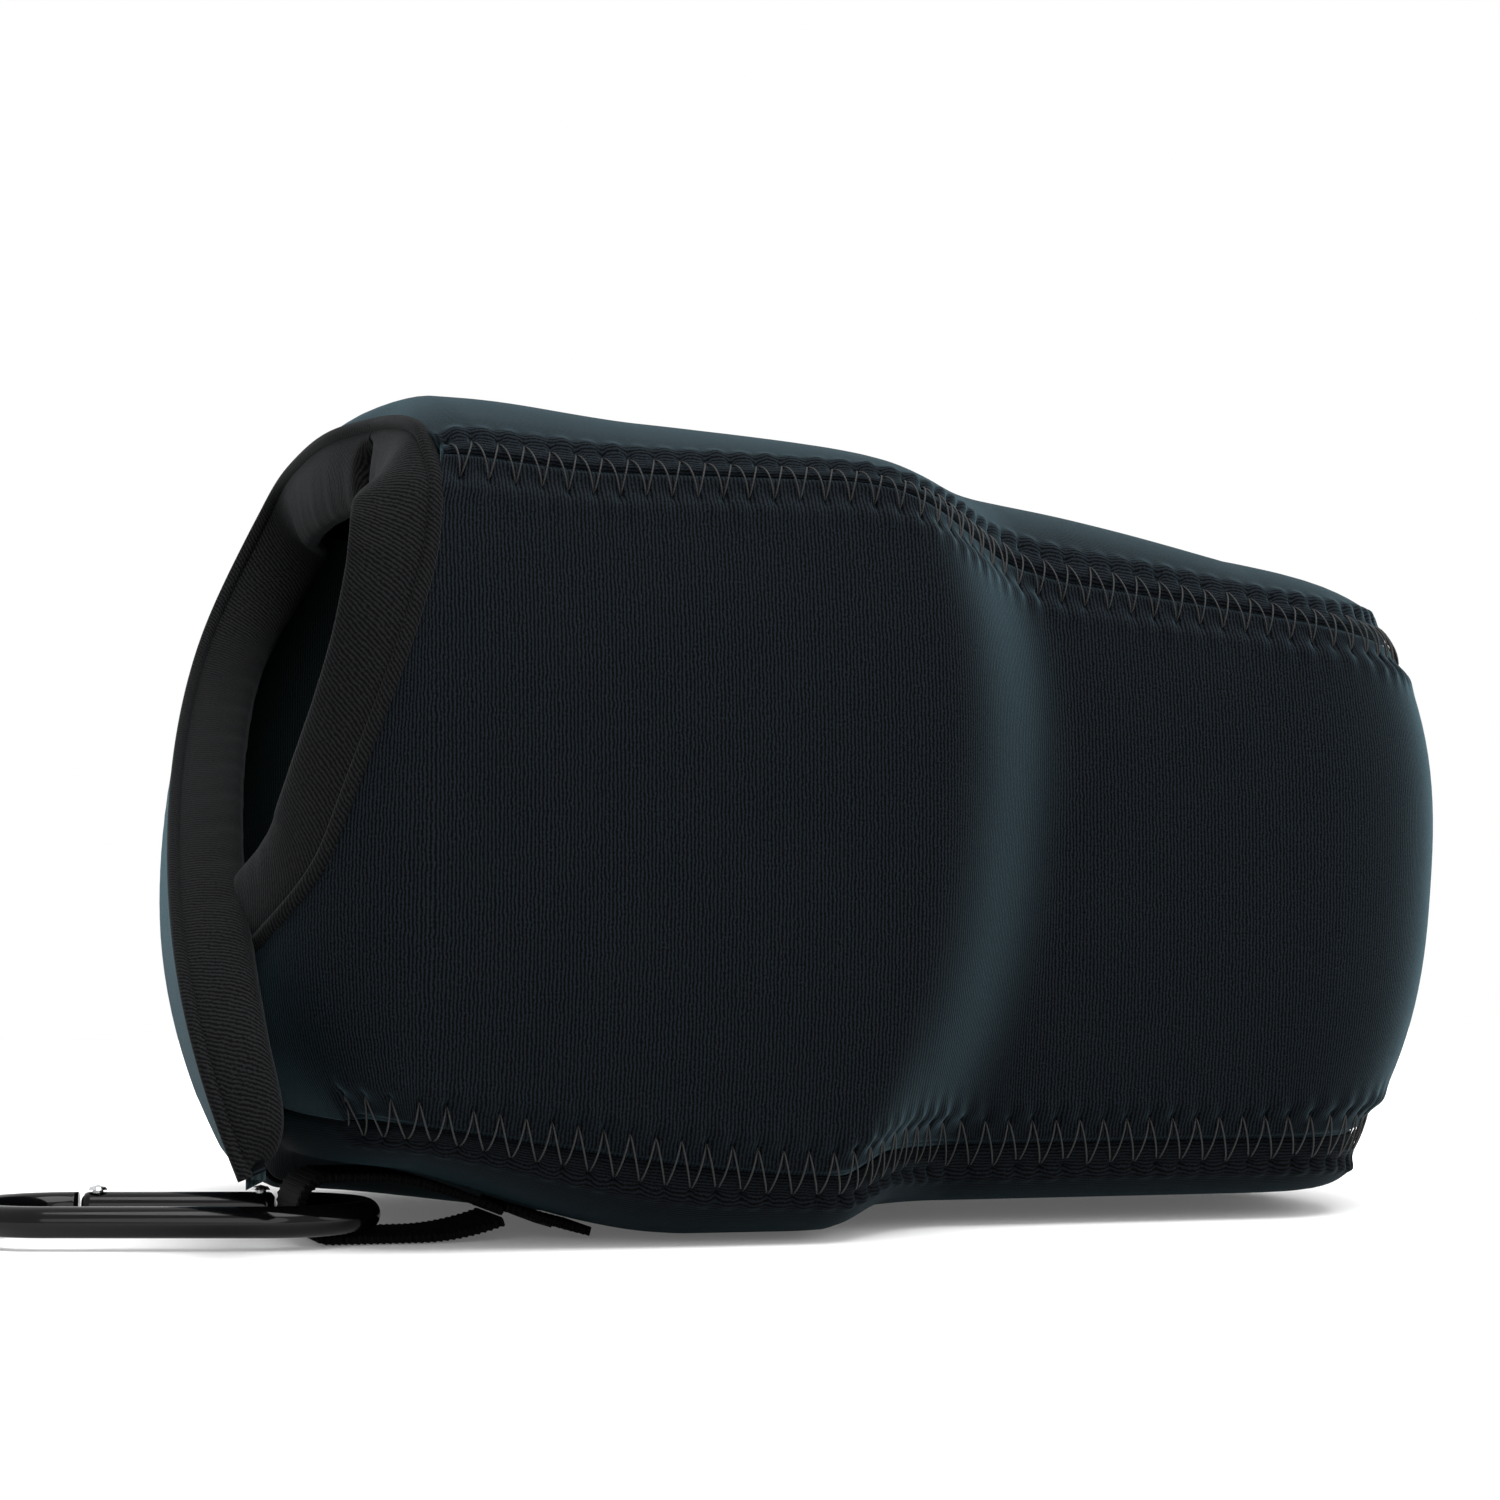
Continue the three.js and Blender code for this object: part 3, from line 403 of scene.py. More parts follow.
def tube(name, path, up, radius, sides, material):
    """A circle carried along a path, drawn to a point at each end. up is a direction across the path."""
    tangent = unit(np.gradient(path, axis=0))
    side = unit(np.cross(tangent, up))
    over = np.cross(side, tangent)
    angle = np.linspace(0, 2 * np.pi, sides, endpoint=False)
    size = np.broadcast_to(np.asarray(radius, float), len(path)).copy()
    ring = side[:, None] * np.cos(angle)[None, :, None] + over[:, None] * np.sin(angle)[None, :, None]
    points = path[:, None] + ring * size[:, None, None]
    points = np.concatenate([path[None, :1].repeat(sides, 1), points, path[None, -1:].repeat(sides, 1)])
    uv = pairs(along(points[:, 0])[:, None], angle[None] * np.mean(size))
    quads = grid_quads(len(points), sides, True)
    return make_piece(name, points.reshape(-1, 3), quads, uv.reshape(-1, 2), material)


def surface_normals(points, outwards):
    """Unit normals of a grid of points, by differences along its rows and columns, turned to one side."""
    normal = unit(np.cross(np.gradient(points, axis=0), np.gradient(points, axis=1)))
    normal[-1] = normal[-2]
    return normal * np.sign((normal @ np.array(outwards)).mean())


def grid_uv(points):
    """Millimetres along the rows of a grid and along its middle column."""
    middle = points.shape[1] // 2
    gaps = np.linalg.norm(np.diff(points, axis=1), axis=2).mean(0)
    across = np.concatenate([[0], np.cumsum(gaps)])
    return pairs(across[None], along(points[:, middle])[:, None])


def sample(grid, row, column):
    """Points of a grid at fractional rows and columns."""
    i = np.clip(np.floor(row).astype(int), 0, grid.shape[0] - 2)
    j = np.clip(np.floor(column).astype(int), 0, grid.shape[1] - 2)
    a = (row - i)[:, None]
    b = (column - j)[:, None]
    low = mix(grid[i, j], grid[i, j + 1], b)
    high = mix(grid[i + 1, j], grid[i + 1, j + 1], b)
    return mix(low, high, a)


# Outline of the pouch. A station runs from the split line (0) past the start of the nose (1) to its tip
# (2), and v from the bottom seam (-1) to the top seam (1).


def top_seam(x):
    """Height of the top seam: level on the body, a little higher at the rear, and falling on the snout."""
    snout = SNOUT_TOP - SNOUT_FALL * (x - SNOUT_TOP_X)
    body = mix(BODY_TOP, REAR_TOP, rise(x, REAR_TOP_X, SPLIT_X - REAR_TOP_X))
    return mix(body, snout, rise(x, TOP_FALL_X, TOP_FALL_LENGTH))


def snout_lift(x):
    """How far the snout's underside hangs over the floor."""
    return SNOUT_LIFT * rise(x, SNOUT_LIFT_X, SNOUT_LIFT_RUN)


def bottom_seam(x):
    """Height of the bottom seam, which rises to the rear and on the snout."""
    return BOTTOM_SEAM + BOTTOM_SEAM_RISE * rise(x, 0, -BOTTOM_SEAM_RUN) + snout_lift(x)


def ridge(x):
    """Height of the crown along the middle of the top: a parabola with a dip and a lift."""
    dip = RIDGE_DIP * bump(x, RIDGE_DIP_X, RIDGE_DIP_RUN)
    lift = REAR_LIFT * rise(x, REAR_LIFT_X, -REAR_LIFT_RUN)
    return RIDGE_Z - RIDGE_FALL * x - RIDGE_BEND * x * x - dip + lift


def belly(x):
    """Height of the flat of the belly, which rises to the rear and under the snout."""
    return BELLY_RISE * rise(x, BELLY_RISE_X, -BELLY_RISE_RUN) + snout_lift(x)


def swell(v):
    """How much of its swell a side panel has between its two seams."""
    return 1 - np.abs(v) ** SWELL_POWER


def half_width(x, v):
    """From the middle plane to the side, which steps in from the body to the snout at the waist."""
    body = BODY_HALF + BODY_SWELL * swell(v)
    snout = SNOUT_HALF + SNOUT_SWELL * swell(v)
    middle = WAIST_X + WAIST_LEAN * v + WAIST_SWELL * swell(v)
    return mix(body, snout, smooth((x - middle) / WAIST_LENGTH + 0.5))


def outline(station, v):
    """Straight along X up to the nose, then a quarter of a superellipse."""
    angle = np.clip(station - 1, 0, 1) * np.pi / 2
    straight = mix(SPLIT_X, NOSE_X, np.minimum(station, 1))
    tip = TIP_X + TIP_LEAN * v + TIP_SWELL * swell(v)
    x = straight + (tip - NOSE_X) * np.sin(angle) ** (2 / NOSE_POWER)
    y = half_width(straight, v) * np.maximum(np.cos(angle), 0) ** (2 / NOSE_POWER)
    return x, y


def corner_cut(x, near_seam):
    """How far forward the panels' rear edge lies, which rounds off their corners at the top seams."""
    return CORNER_CUT * near_seam * np.clip(1 - (x - SPLIT_X) / CUT_RUN, 0, 1)


def under_seam(z, seam_z):
    """1 at the height of a top seam, falling to 0 below it."""
    return smooth((z - seam_z) / CUT_RUN + 1)


def even_stations(step, fine_count):
    """Stations about one step apart along the top seam."""
    fine = np.linspace(0, 2, fine_count)
    x, y = outline(fine, 1.0)
    length = along(stack(x, y, 0))
    return np.interp(np.linspace(0, length[-1], int(length[-1] / step)), length, fine)


STATION_STEP = 0.5
STATIONS = even_stations(STATION_STEP, fine_count=4001)

# Distances from a seam at which a panel has columns of points, close together round the needle holes
EDGE = np.array(
    [0, 0.2, 0.4, 0.7, 1, 1.3, 1.6, 1.9, 2.3, 2.6, 2.9, 3.3, 3.7, 4, 4.3, 4.6, 5, 5.5, 6.1, 7, 8.2, 10]
)
MIDDLE_COLUMNS = 22
MIDDLE_COLUMN = 30  # distances along a side are measured on this column
FLAP_ROWS = 110
BELLY_REAR_ROWS = 100
BELLY_REAR_GAP = 1.0  # the belly's rear rows end this much before the middle


def columns_between(low, high):
    """Heights from low to high for each row: fine steps near both, even steps between."""
    share = np.linspace(0, 1, MIDDLE_COLUMNS + 2)[1:-1]
    inner_low = low + EDGE[-1]
    inner_high = high - EDGE[-1]
    middle = inner_low + (inner_high - inner_low) * share
    return np.concatenate([low + EDGE, middle, high - EDGE[::-1]], axis=1)


def edge_column(distance):
    """The column of a panel's grid at a distance from its seam."""
    return np.interp(distance, EDGE, np.arange(len(EDGE)))


# Flaps: strips that leave the side panels at the split line and turn the rear corners. The distance s is
# measured along the strip.


def near_rim(z):
    """Where the near flap ends: a straight slope, and under a height a curve across the back."""
    leaving = NEAR_RIM_SLOPE * np.maximum(NEAR_FLAP_TOP - z, 0)
    sweep = NEAR_SWEEP * (np.maximum(NEAR_SWEEP_Z - z, 0) / NEAR_SWEEP_RUN) ** NEAR_SWEEP_POWER
    return np.minimum(leaving + sweep, NEAR_REACH)


def far_rim(z):
    """Where the far flap ends: its edge crosses the back in an S-curve of Y by height, and the distance
    along the strip follows from that Y."""
    y = mix(FAR_RIM_Y, FAR_RIM_TOP_Y, rise(z, FAR_RIM_LOW, FAR_RIM_HIGH - FAR_RIM_LOW))
    corner_end = BODY_HALF + BODY_SWELL / 2 - FAR_CORNER
    bend = np.arccos(np.clip((y - corner_end) / FAR_CORNER, 0, 1) ** (CORNER_POWER / 2))
    turned = CORNER_ARC * FAR_CORNER * bend / (np.pi / 2)
    rounded = FAR_TOP_CUT * rise(z, FAR_RIM_TOP, REAR_TOP - FAR_RIM_TOP)
    return turned + np.maximum(corner_end - y, 0) - rounded


NEAR = {
    "side": -1,
    "tuck": NEAR_TUCK,
    "rear": NEAR_REAR_X,
    "standoff": 0,
    "corner": NEAR_CORNER,
    "rim": near_rim,
}
FAR = {
    "side": 1,
    "tuck": 0,
    "rear": FAR_REAR_X,
    "standoff": FAR_STANDOFF,
    "corner": FAR_CORNER,
    "rim": far_rim,
}


def strip_point(strip, s, z):
    """A quarter of a superellipse from the side round to the back, then straight on. The back leans
    forward as the square of the height over and under its bulge."""
    v = np.clip((z - bottom_seam(SPLIT_X)) / (REAR_TOP - bottom_seam(SPLIT_X)), 0, 1) * 2 - 1
    half = BODY_HALF + BODY_SWELL * swell(v)
    above = z - BULGE_Z
    over = LEAN_TOP * (above / LEAN_TOP_RUN) ** 2
    under = LEAN_FOOT * (above / LEAN_FOOT_RUN) ** 2
    tuck = strip["tuck"] * np.maximum((TUCK_Z - z) / TUCK_RUN, 0) ** 2
    lean = np.where(above > 0, over, under) + tuck
    length = CORNER_ARC * strip["corner"]
    bend = np.clip(s / length, 0, 1) * np.pi / 2
    beyond = np.maximum(s - length, 0)
    turn = np.maximum(np.cos(bend), 0) ** (2 / CORNER_POWER)
    y = half - strip["corner"] + strip["corner"] * turn - beyond
    back = strip["rear"] + strip["standoff"] * y + lean
    x = mix(SPLIT_X, back, np.sin(bend) ** (2 / CORNER_POWER))
    return stack(x, strip["side"] * y, z)


def near_foot(s):
    """Height of the near flap's foot, which follows the bottom seam."""
    x = strip_point(NEAR, s, bottom_seam(SPLIT_X))[..., 0]
    return bottom_seam(x)


def far_foot(s):
    """Height of the far flap's foot, which drops after the corner to hang over the near flap."""
    return mix(bottom_seam(SPLIT_X), FAR_FLAP_FOOT, rise(s, CORNER_ARC * FAR_CORNER, FAR_FOOT_RUN))


# Panels


def seam_relief(s, d, row, phase):
    """Height of a panel's face near a stitched seam, at s along it and d from it: sunk towards the butt
    line, pressed in at the needle holes one row away and bulging between them."""
    beat = 0.5 + 0.5 * np.cos(2 * np.pi * ((s - FIRST_STITCH) / STITCH_PITCH + phase))
    uneven = 1 + waves(s, SEAM_WAVES)
    rows = d / row
    strip = -SEAM_DEPTH * np.exp(-(rows**4) / 2) - SEAM_DEPTH * bump(rows, 0, GROOVE_WIDTH)
    hole = -HOLE_DEPTH * uneven * beat**HOLE_SHARPNESS * bump(rows, 1, HOLE_WIDTH)
    lobe = LOBE_HEIGHT * uneven * (1 - beat) * bump(rows, LOBE_PLACE, LOBE_WIDTH)
    return strip + hole + lobe


def close_corner(flap, share, mouth, rim):
    """Stretches the far flap to the rim of its binding, and draws its upper edge to the top's rear edge."""
    side = rim["points"][np.argmax(rim["points"][:, 2]) :][::-1]
    to_rim = looked_up(flap[0, :, 2], side[:, 2], side) - flap[0]
    flap = flap + share[..., None] ** 2 * to_rim
    upper = flap[:, -1]
    to_top = looked_up(upper[:, 1], mouth[:, 1], mouth) - upper
    near_top = smooth((flap[..., 2] - REAR_TOP) / CORNER_RUN + 1)
    return flap + near_top[..., None] * to_top[:, None]


def side_rows(strip, foot, mouth, rim):
    """Base grid of a side panel and its flap: flap rows from the rim to the split line, then the stations.
    Returns the flap's rows, the side's rows and the flap's distances from the split line."""
    share = np.linspace(1, 0, FLAP_ROWS)[:-1, None]
    low = foot(share * strip["rim"](bottom_seam(SPLIT_X)))
    z = columns_between(low, np.full_like(low, REAR_TOP))
    s = share * np.maximum(strip["rim"](z) - RIM_EDGE, LEAST_FLAP)
    flap = strip_point(strip, s, z)
    flap[..., 0] += CORNER_CUT * under_seam(z, REAR_TOP)
    if strip is FAR:
        flap = close_corner(flap, share, mouth, rim)
    station = STATIONS[:, None]
    low = bottom_seam(outline(station, -1.0)[0])
    high = top_seam(outline(station, 1.0)[0])
    z = columns_between(low, high)
    x, y = outline(station, (z - low) / (high - low) * 2 - 1)
    x = x + corner_cut(x, under_seam(z, high))
    return flap, stack(x, strip["side"] * y, z), s


def side_relief(strip, base, low_s, high_s):
    """Relief of a side along its bottom, top and nose seams, each fading in where the seam begins."""
    sewn_flap = SEWN_FLAP if strip is NEAR else 0
    sewn_low = rise(low_s, -sewn_flap, SEAM_FADE)[:, None]
    sewn_high = rise(high_s, -TOP_SEAM_FADE, TOP_SEAM_FADE)[:, None]
    from_low = base[..., 2] - base[:, :1, 2]
    from_high = base[:, -1:, 2] - base[..., 2]
    relief = sewn_low * seam_relief(low_s[:, None], from_low, SIDE_ROW, HALF_STITCH)
    relief = relief + sewn_high * seam_relief(high_s[:, None], from_high, SIDE_ROW, HALF_STITCH)
    up_nose = along(base[-1])[None]
    from_nose = along(base[::-1, MIDDLE_COLUMN])[::-1, None]
    sewn_nose = rise(up_nose, NOSE_MARGIN, NOSE_SEAM_FADE)
    sewn_nose = sewn_nose * rise(up_nose[:, -1:] - up_nose, NOSE_MARGIN, NOSE_SEAM_FADE)
    phase = HALF_STITCH if strip is FAR else 0.0
    return relief + sewn_nose * seam_relief(up_nose, from_nose, NOSE_ROW, phase)


def side_skin(name, strip, foot, mouth, rim, materials):
    """A side panel and its flap as one cloth: the base grid raised by the seams' relief, with an inner face
    one wall inwards. Returns the piece, the base, the outer face, the base's normals and the distances along
    the bottom and top seams from the split line."""
    flap, side, flap_s = side_rows(strip, foot, mouth, rim)
    base = np.concatenate([flap, side])
    flap_uv = pairs(-flap_s, flap[..., 2])
    side_uv = pairs(along(side[:, MIDDLE_COLUMN])[:, None], side[..., 2])
    normal = surface_normals(base, (0.0, strip["side"], 0.0))
    low_s = along(base[:, 0])
    high_s = along(base[:, -1])
    low_s -= low_s[len(flap)]
    high_s -= high_s[len(flap)]
    outer = base + normal * side_relief(strip, base, low_s, high_s)[..., None]
    inner = base - normal * WALL
    inner[:, 0, 2] -= SEAM_LAP
    inner[:, -1, 2] += SEAM_LAP
    piece = shell(name, outer, inner, np.concatenate([flap_uv, side_uv]), *materials)
    return piece, base, outer, normal, low_s, high_s


def panel_rows(level):
    """Base rows of the top (level 1) or bottom (level -1), each from its seam point to the middle and on to
    the mirrored seam point. Returns the X and Y of the rows' seam points and the X of their middles."""
    x, y = outline(STATIONS, float(level))
    middle = np.where(x > NOSE_X, NOSE_X + FAN * (x - NOSE_X), x)
    return x, y, middle


def across_shares(x, y, middle):
    """Signed shares along each row, fine near both seams, and the length of half a row."""
    length = np.hypot(x - middle, y)[:, None]
    edge = 1 - EDGE[None] / length
    share = np.linspace(1, 0, MIDDLE_COLUMNS // 2 + 1)[None, 1:]
    half = np.concatenate([edge, edge[:, -1:] * share], axis=1)
    return np.concatenate([-half, half[:, -2::-1]], axis=1), length


def mouth_x(x, share, at_mouth):
    """X of the top's points, which at the mouth lie further back on the far side and forward at corners."""
    reach = MOUTH_REACH * smooth(share / REACH_RUN + 1)
    cut = FAR_CUT * rise(share, FAR_CUT_SHARE, FAR_CUT_RUN)
    before_seam = 1 - rise(share, SEAM_SHARE, SEAM_SHARE_RUN)
    near_seam = rise(np.abs(share), CORNER_CUT_SHARE, CORNER_CUT_SHARE_RUN)
    return x + (cut - reach) * before_seam * at_mouth + corner_cut(x, near_seam)


def top_skin(name, material):
    """The crowned top: seam height at both ends of a row, ridge height in its middle, steep next to the
    seams and sunk at the mouth. Returns what side_skin does, with one distance along the seam."""
    x, y, middle = panel_rows(1)
    share, length = across_shares(x, y, middle)
    crown = (1 - np.abs(share) ** CROWN_POWER) ** CROWN_SHOULDER
    seam_z = top_seam(x)[:, None]
    row_x = mix(middle[:, None], x[:, None], np.abs(share))
    at_mouth = np.clip(1 - (row_x - SPLIT_X) / DROOP_RUN, 0, 1)
    droop = mix(NEAR_DROOP, FAR_DROOP, rise(share, DROOP_SHARE, 1.0))
    top = ridge(middle)[:, None] - droop * at_mouth**2
    base = stack(mouth_x(row_x, share, at_mouth), y[:, None] * share, mix(seam_z, top, crown))
    normal = surface_normals(base, UP)
    s = along(base[:, 0])
    relief = seam_relief(s[:, None], (1 - np.abs(share)) * length, TOP_ROW, 0.0)
    outer = base + normal * relief[..., None]
    piece = shell(name, outer, base - normal * WALL, grid_uv(base), material)
    return piece, base, outer, normal, s


def bottom_skin(name, material):
    """The belly: flat in the middle, lifted behind, steep next to its seam, and rounded off behind the split
    line as far as the near flap's foot. Returns what top_skin does."""
    x, y, middle = panel_rows(-1)
    last_s = CORNER_ARC * NEAR_CORNER + BODY_HALF - NEAR_CORNER - BELLY_REAR_GAP
    rear_s = np.linspace(last_s, 0, BELLY_REAR_ROWS)[:-1]
    rear = strip_point(NEAR, rear_s, near_foot(rear_s))
    z = np.concatenate([rear[:, 2], bottom_seam(x)])
    x = np.concatenate([rear[:, 0], x])
    y = np.concatenate([np.maximum(-rear[:, 1], 0), y])
    middle = np.concatenate([SPLIT_X + FAN * (rear[:, 0] - SPLIT_X), middle])
    share, length = across_shares(x, y, middle)
    depth = (1 - np.abs(share) ** BELLY_POWER) ** BELLY_SHOULDER
    row_x = mix(middle[:, None], x[:, None], np.abs(share))
    row_y = y[:, None] * share
    low = belly(middle)[:, None] * (1 - FAR_SAG * rise(row_y, FAR_SAG_Y, FAR_SAG_RUN))
    base = stack(row_x, row_y, mix(z[:, None], low, depth))
    normal = surface_normals(base, DOWN)
    s = along(base[:, 0])
    s -= s[len(rear)]
    relief = seam_relief(s[:, None], (1 - np.abs(share)) * length, BOTTOM_ROW, 0.0)
    relief = relief * rise(s, -SEWN_FLAP, SEAM_FADE)[:, None]
    outer = base + normal * relief[..., None]
    outer[..., 2] = np.maximum(outer[..., 2], FLOOR_GAP)
    inner = base - normal * WALL
    inner[..., 2] = np.maximum(inner[..., 2], base[..., 2])
    piece = shell(name, outer, inner, grid_uv(base), material)
    return piece, base, outer, normal, s


# Stitches


def seam_side(face, s, column, edge):
    """One side of a seam: a face as (base, outer, normals), the distances of its rows along the seam, its
    column of needle holes and its column on the butt line."""
    base, outer, normals = face
    return {"points": outer, "normals": normals, "column": column, "edge": base[:, edge], "s": s}


def nose_side(face):
    """The last rows of a side's face as one side of the upright seam at the tip of the nose."""
    turned = [grid[::-1].swapaxes(0, 1) for grid in face]
    return seam_side(turned, along(turned[0][:, 0]), NOSE_ROW / STATION_STEP, 0)


def zigzag(name, panel, side, start, end, material):
    """Thread from needle hole to needle hole across a butt seam, which each stitch crosses as a parabola
    that dips into the joint. panel and side are the seam's two sides."""
    first = FIRST_STITCH + np.ceil((start - FIRST_STITCH) / STITCH_PITCH) * STITCH_PITCH
    hole_s = np.arange(first, end, STITCH_PITCH / 2)
    ends = []
    for grid in (panel, side):
        row = np.interp(hole_s, grid["s"], np.arange(len(grid["s"])))
        column = np.full(len(row), float(grid["column"]))
        ends.append((sample(grid["points"], row, column), unit(sample(grid["normals"], row, column))))
    on_panel = (np.arange(len(hole_s)) % 2 == 0)[:, None]
    hole = np.where(on_panel, ends[0][0], ends[1][0])
    out = np.where(on_panel, ends[0][1], ends[1][1])
    butt = looked_up(0.5 * (hole_s[:-1] + hole_s[1:]), panel["s"], panel["edge"])
    middle = butt - unit(out[:-1] + out[1:]) * THREAD_SINK
    control = 2 * middle - 0.5 * (hole[:-1] + hole[1:])
    u = np.linspace(0, 1, STITCH_STEPS + 1)[None, :-1, None]
    path = (1 - u) ** 2 * hole[:-1, None] + 2 * u * (1 - u) * control[:, None] + u * u * hole[1:, None]
    up = unit(mix(out[:-1, None], out[1:, None], u))
    path = path + up * (THREAD_ARCH * (4 * u * (1 - u)) ** THREAD_ARCH_POWER - THREAD_DIP)
    return tube(name, path.reshape(-1, 3), up.reshape(-1, 3), THREAD_RADIUS, THREAD_SIDES, material)


# Rims: rows of points with the direction inwards, smoothed round the mouth's corners


def resampled(values, length, count):
    """A row of values at even distances along it."""
    return looked_up(np.linspace(0, length[-1], count), length, values)


def softened(values, passes):
    """A row of values, each evened out with its neighbours over and over."""
    for _ in range(passes):
        padded = np.concatenate([values[:1], values, values[-1:]])
        values = 0.25 * padded[:-2] + 0.5 * padded[1:-1] + 0.25 * padded[2:]
    return values


def flap_rim(strip, z):
    """Points along a flap's edge at some heights."""
    points = strip_point(strip, strip["rim"](z), z)
    points[:, 0] += CORNER_CUT * under_seam(z, REAR_TOP)
    return points


def whole_rim(mouth):
    """From the near flap's foot up to the mouth, over it and down the far flap's edge: points, the direction
    across the binding, the direction that its face looks to, and the distance from the near corner."""
    near = flap_rim(NEAR, np.linspace(NEAR_RIM_FOOT, NEAR_RIM_TOP, NEAR_RIM_POINTS))
    far = flap_rim(FAR, np.linspace(FAR_RIM_TOP, FAR_RIM_FOOT, FAR_RIM_POINTS))
    edge = mouth[(mouth[:, 1] > NEAR_CORNER_Y) & (mouth[:, 1] < FAR_CORNER_Y)]
    hangs = np.concatenate([0 * near, 0 * edge + [0.0, 0.0, -MOUTH_HANG], 0 * far])
    points = np.concatenate([near, edge, far])
    length = along(points)
    count = int(length[-1] / RIM_STEP)
    near_corner = length[len(near)]
    points = softened(resampled(points, length, count), NEAR_SOFTENING)
    on_far_side = rise(np.linspace(0, length[-1], count) - near_corner, PUCKER, PUCKER)[:, None]
    points = mix(points, softened(points, FAR_SOFTENING), on_far_side)
    hangs = softened(resampled(hangs, length, count), HANG_SOFTENING)
    tangent = unit(np.gradient(points, axis=0))
    across = softened(unit(np.cross(tangent, -np.array(BINDING_FACE)) + hangs), ACROSS_SOFTENING)
    across = unit(across - tangent * np.sum(across * tangent, -1, keepdims=True))
    distance = along(points)
    distance -= distance[int(near_corner / RIM_STEP)]
    return {"points": points, "across": across, "out": np.cross(tangent, across), "length": distance}


def rim_widths(rim):
    """Adds the binding's width at each point of a rim, its rounding at the two feet and its lean."""
    length = rim["length"]
    width = mix(MOUTH_BAND_WIDTH, NEAR_BAND_WIDTH, rise(length, 0, -NEAR_BAND_RUN))
    width = mix(width, FAR_BAND_WIDTH, rise(length - FAR_TURN, -FAR_TURN_RUN, 2 * FAR_TURN_RUN))
    width = mix(BAND_FOOT_WIDTH, width, rise(length, length[-1], -BAND_FOOT_RUN))
    width = mix(HIDDEN_WIDTH, width, rise(length - length[0], HIDDEN_LENGTH, HIDDEN_RUN))
    from_foot = np.minimum(length - length[0], length[-1] - length)
    rounding = np.sqrt(1 - FOOT_THINNING * np.clip(1 - from_foot / FOOT_ROUND, 0, 1) ** 2)
    rim["width"] = width * rounding
    rim["round"] = rounding
    rim["lean"] = NEAR_BAND_LEAN * rise(length, -NEAR_BAND_RUN / 2, -NEAR_BAND_RUN)


def part_of(rim, start, end):
    """The stretch of a rim between two distances from the near corner."""
    inside = (rim["length"] >= start) & (rim["length"] <= end)
    return {key: values[inside] for key, values in rim.items()}


def piping(name, rim, material):
    """A round cord along a rim."""
    return tube(name, rim["points"], rim["out"], PIPING_RADIUS, PIPING_SIDES, material)


def band(name, rim, material):
    """A soft padded strip beside a rim: a flattened round section carried along it, whose free edge is wavy,
    with rounded ends and a crease at the pucker."""
    around = np.linspace(0, 2 * np.pi, BAND_SIDES, endpoint=False)
    across = (0.5 - 0.5 * np.cos(around))[None]
    half_wall = BAND_WALL / 2 * np.sign(np.sin(around)) * np.abs(np.sin(around)) ** BAND_ROUNDNESS
    s = rim["length"][:, None]
    from_end = np.minimum(s - s[0], s[-1] - s)
    end_wall = np.sqrt(1 - np.clip(1 - from_end / BAND_END, 0, 1) ** 2 * END_THINNING)
    wall = half_wall[None] * mix(1, end_wall, rise(across, END_SHARE, END_SHARE_RUN)) * rim["round"][:, None]
    wave = BAND_WAVE * waves(s, BAND_WAVES)
    creased = rise(across, CREASE_SHARE, CREASE_SHARE_RUN) + bump(across, DEEPEST_SHARE, DEEPEST_WIDTH)
    crease = CREASE_DEPTH * bump(s, PUCKER, CREASE_RUN) * creased
    height = wall - BAND_SINK + wave * across**2 - crease - rim["lean"][:, None] * across
    reach = across * (rim["width"][:, None] + wave)
    laid = rim["points"][:, None] + rim["across"][:, None] * reach[..., None]
    laid = mix(laid, softened(laid, EDGE_SOFTENING), rise(across, 0, EVEN_SHARE)[..., None])
    points = laid + rim["out"][:, None] * height[..., None]
    first = points[:1].mean(1, keepdims=True).repeat(BAND_SIDES, 1)
    last = points[-1:].mean(1, keepdims=True).repeat(BAND_SIDES, 1)
    points = np.concatenate([first, points, last])
    girth = np.linspace(0, 2 * MOUTH_BAND_WIDTH, BAND_SIDES)[None]
    uv = pairs(np.concatenate([s[:1], s, s[-1:]]), girth)
    quads = grid_quads(len(points), BAND_SIDES, True)
    return make_piece(name, points.reshape(-1, 3), quads, uv.reshape(-1, 2), material)


# Webbing


def strap(name, path, material):
    """A flat woven section carried along a path in X and Z, thinner and braided at its two edges."""
    tangent = unit(np.gradient(path, axis=0))
    over = np.stack([-tangent[:, 1], tangent[:, 0]], -1)
    length = along(path)
    share = np.sin(np.linspace(-np.pi / 2, np.pi / 2, WEB_COLUMNS))[None]
    beat = np.sin(2 * np.pi * length / BRAID_PITCH)[:, None]
    braid = BRAID_HEIGHT * beat * np.abs(share) ** BRAID_POWER
    y = WEB_Y + share * WEB_WIDTH / 2 + braid * np.sign(share)
    half = WEB_THICK / 2 * (1 - WEB_EDGE_THINNING * np.abs(share) ** WEB_EDGE_POWER) + braid
    layers = [
        stack(path[:, :1] + sign * half * over[:, :1], y, path[:, 1:] + sign * half * over[:, 1:])
        for sign in (1, -1)
    ]
    return shell(name, *layers, pairs(length[:, None], share * WEB_WIDTH / 2), material)


def curve(start, control, end, count):
    """A parabola from start to end that leaves and meets them towards a control point."""
    t = np.linspace(0, 1, count)[:, None]
    start, control, end = (np.array(p, float) for p in (start, control, end))
    return (1 - t) ** 2 * start + 2 * t * (1 - t) * control + t * t * end


